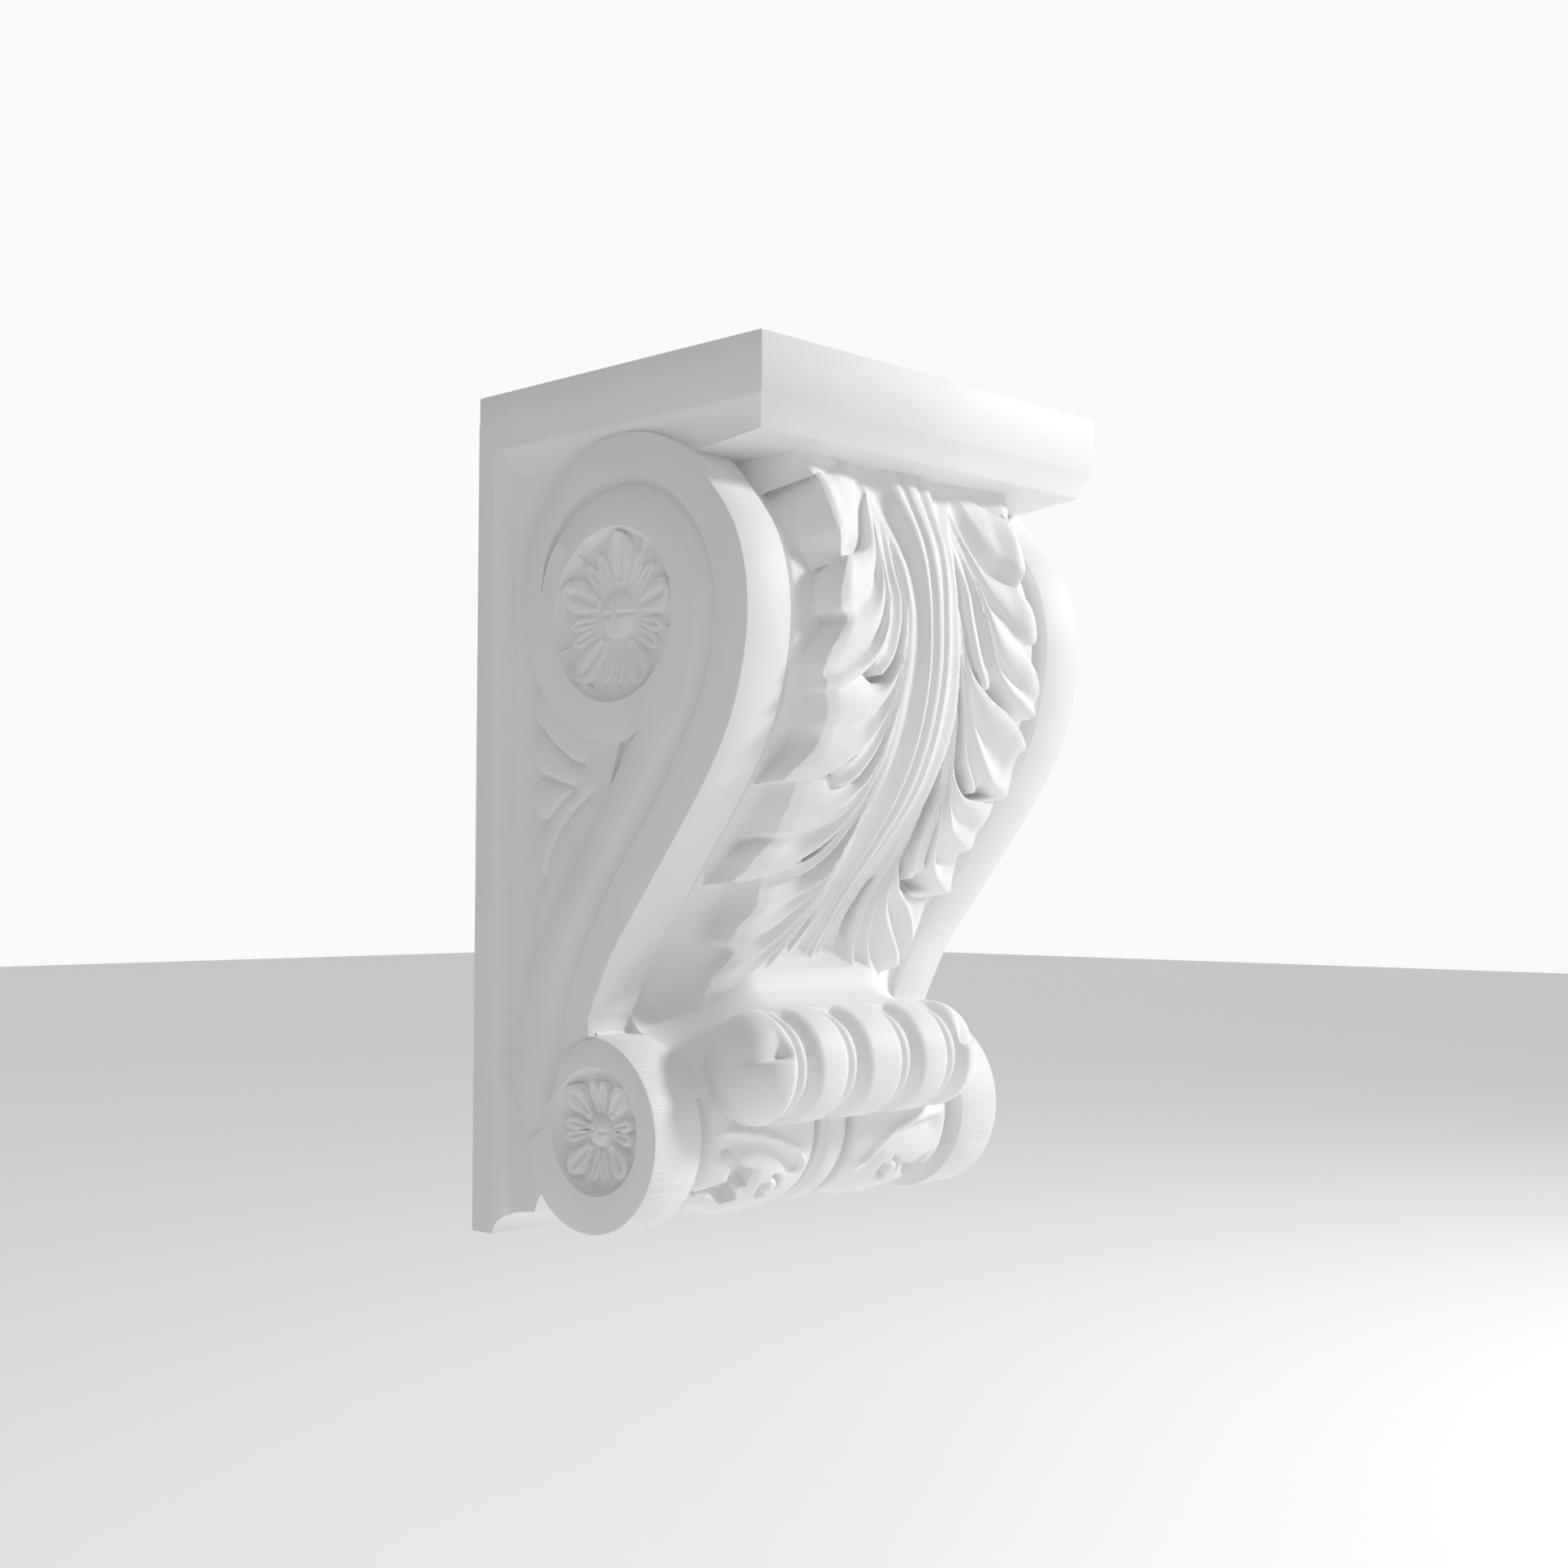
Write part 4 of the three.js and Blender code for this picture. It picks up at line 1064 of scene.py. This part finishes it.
def node_of(kind, **values):
    node = nodes.new(kind)
    for key, value in values.items():
        node.inputs[key].default_value = value
    return node


clouds = node_of("ShaderNodeTexNoise", Scale=22, Detail=3)
tint = nodes.new("ShaderNodeValToRGB")
for stop, place, white in zip(tint.color_ramp.elements, (0.3, 0.7), (0.86, 0.9)):
    stop.position = place
    stop.color = (white, white, white - 0.005, 1)
spray = node_of("ShaderNodeTexNoise", Scale=1400, Detail=2)
bump = node_of("ShaderNodeBump", Strength=0.05, Distance=0.0003)
links.new(coordinates.outputs["Object"], clouds.inputs["Vector"])
links.new(coordinates.outputs["Object"], spray.inputs["Vector"])
links.new(clouds.outputs["Fac"], tint.inputs["Fac"])
links.new(tint.outputs["Color"], shader.inputs["Base Color"])
links.new(spray.outputs["Fac"], bump.inputs["Height"])
links.new(bump.outputs["Normal"], shader.inputs["Normal"])
corbel.data.materials.clear()
corbel.data.materials.append(primer)

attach(corbel, "root")
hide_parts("corbel")

# Floor, light and camera
# A plain pale floor well below the corbel, a broad soft light from the front on the right and a weak one
# on the left, and the camera where the photograph was taken from.

floor_drop = 0.22
floor_size = 14
deselect()
bpy.ops.mesh.primitive_plane_add(size=floor_size, location=(0, 0, foot_level - floor_drop))
floor = bpy.context.object
floor.name = "studio_floor"
bpy.ops.object.transform_apply(location=True, rotation=False, scale=True)
paper = bpy.data.materials.new("pale_floor")
paper.use_nodes = True
paper_shader = paper.node_tree.nodes["Principled BSDF"]
paper_shader.inputs["Base Color"].default_value = (0.95, 0.95, 0.95, 1)
paper_shader.inputs["Roughness"].default_value = 0.9
paper_shader.inputs["Emission Strength"].default_value = 0.17
floor.data.materials.append(paper)

# The sky is brightest in this direction, behind the corbel, like a lit paper backdrop.
backdrop_way = (0.724, 0.69, 0)
world = bpy.data.worlds.new("studio")
world.use_nodes = True
sky, sky_links = world.node_tree.nodes, world.node_tree.links
sky["Background"].inputs["Color"].default_value = (1, 1, 1, 1)
look = sky.new("ShaderNodeTexCoord")
facing = sky.new("ShaderNodeVectorMath")
facing.operation = "DOT_PRODUCT"
facing.inputs[1].default_value = backdrop_way
backdrop = sky.new("ShaderNodeMapRange")
backdrop.interpolation_type = "SMOOTHSTEP"
for socket, value in {"From Min": 0.3, "From Max": 0.85, "To Min": 0.28, "To Max": 0.95}.items():
    backdrop.inputs[socket].default_value = value
sky_links.new(look.outputs["Generated"], facing.inputs[0])
sky_links.new(facing.outputs["Value"], backdrop.inputs["Value"])
sky_links.new(backdrop.outputs["Result"], sky["Background"].inputs["Strength"])
bpy.context.scene.world = world
bpy.context.scene.view_settings.view_transform = "Standard"

middle = Vector((0, -depth / 2 * mm, 0))


def soft_light(name, place, size, power):
    lamp = bpy.data.lights.new(name, "AREA")
    lamp.shape = "DISK"
    lamp.size = size
    lamp.energy = power
    light = bpy.data.objects.new(name, lamp)
    light.location = place
    light.rotation_euler = (middle - Vector(place)).to_track_quat("-Z", "Y").to_euler()
    bpy.context.collection.objects.link(light)


soft_light("key_light", (1.41, -1.06, 0.8), 0.26, 22)
soft_light("fill_light", (-1.03, -0.93, 1.34), 0.7, 2.6)

azimuth, elevation, roll_turn = (math.radians(v) for v in (-46.4, -2.5835, 0.154))
distance = 0.76464
lens = 47.63
aim_out = 0.0716
aim_right = -0.00312
aim_up = 0.01065
back = Vector((math.sin(azimuth) * math.cos(elevation), -math.cos(azimuth) * math.cos(elevation),
               math.sin(elevation)))
level_right = (-back).cross(Vector((0, 0, 1))).normalized()
level_up = level_right.cross(-back)
right = level_right * math.cos(roll_turn) + level_up * math.sin(roll_turn)
up = level_up * math.cos(roll_turn) - level_right * math.sin(roll_turn)
aim = Vector((0, -aim_out, 0)) + right * aim_right + up * aim_up
view = bpy.data.cameras.new("camera")
view.lens = lens
view.sensor_width = 36
view.clip_start = 0.01
camera = bpy.data.objects.new("camera", view)
camera.rotation_euler = Matrix((right, up, back)).transposed().to_euler()
camera.location = aim + back * distance
bpy.context.collection.objects.link(camera)
bpy.context.scene.camera = camera
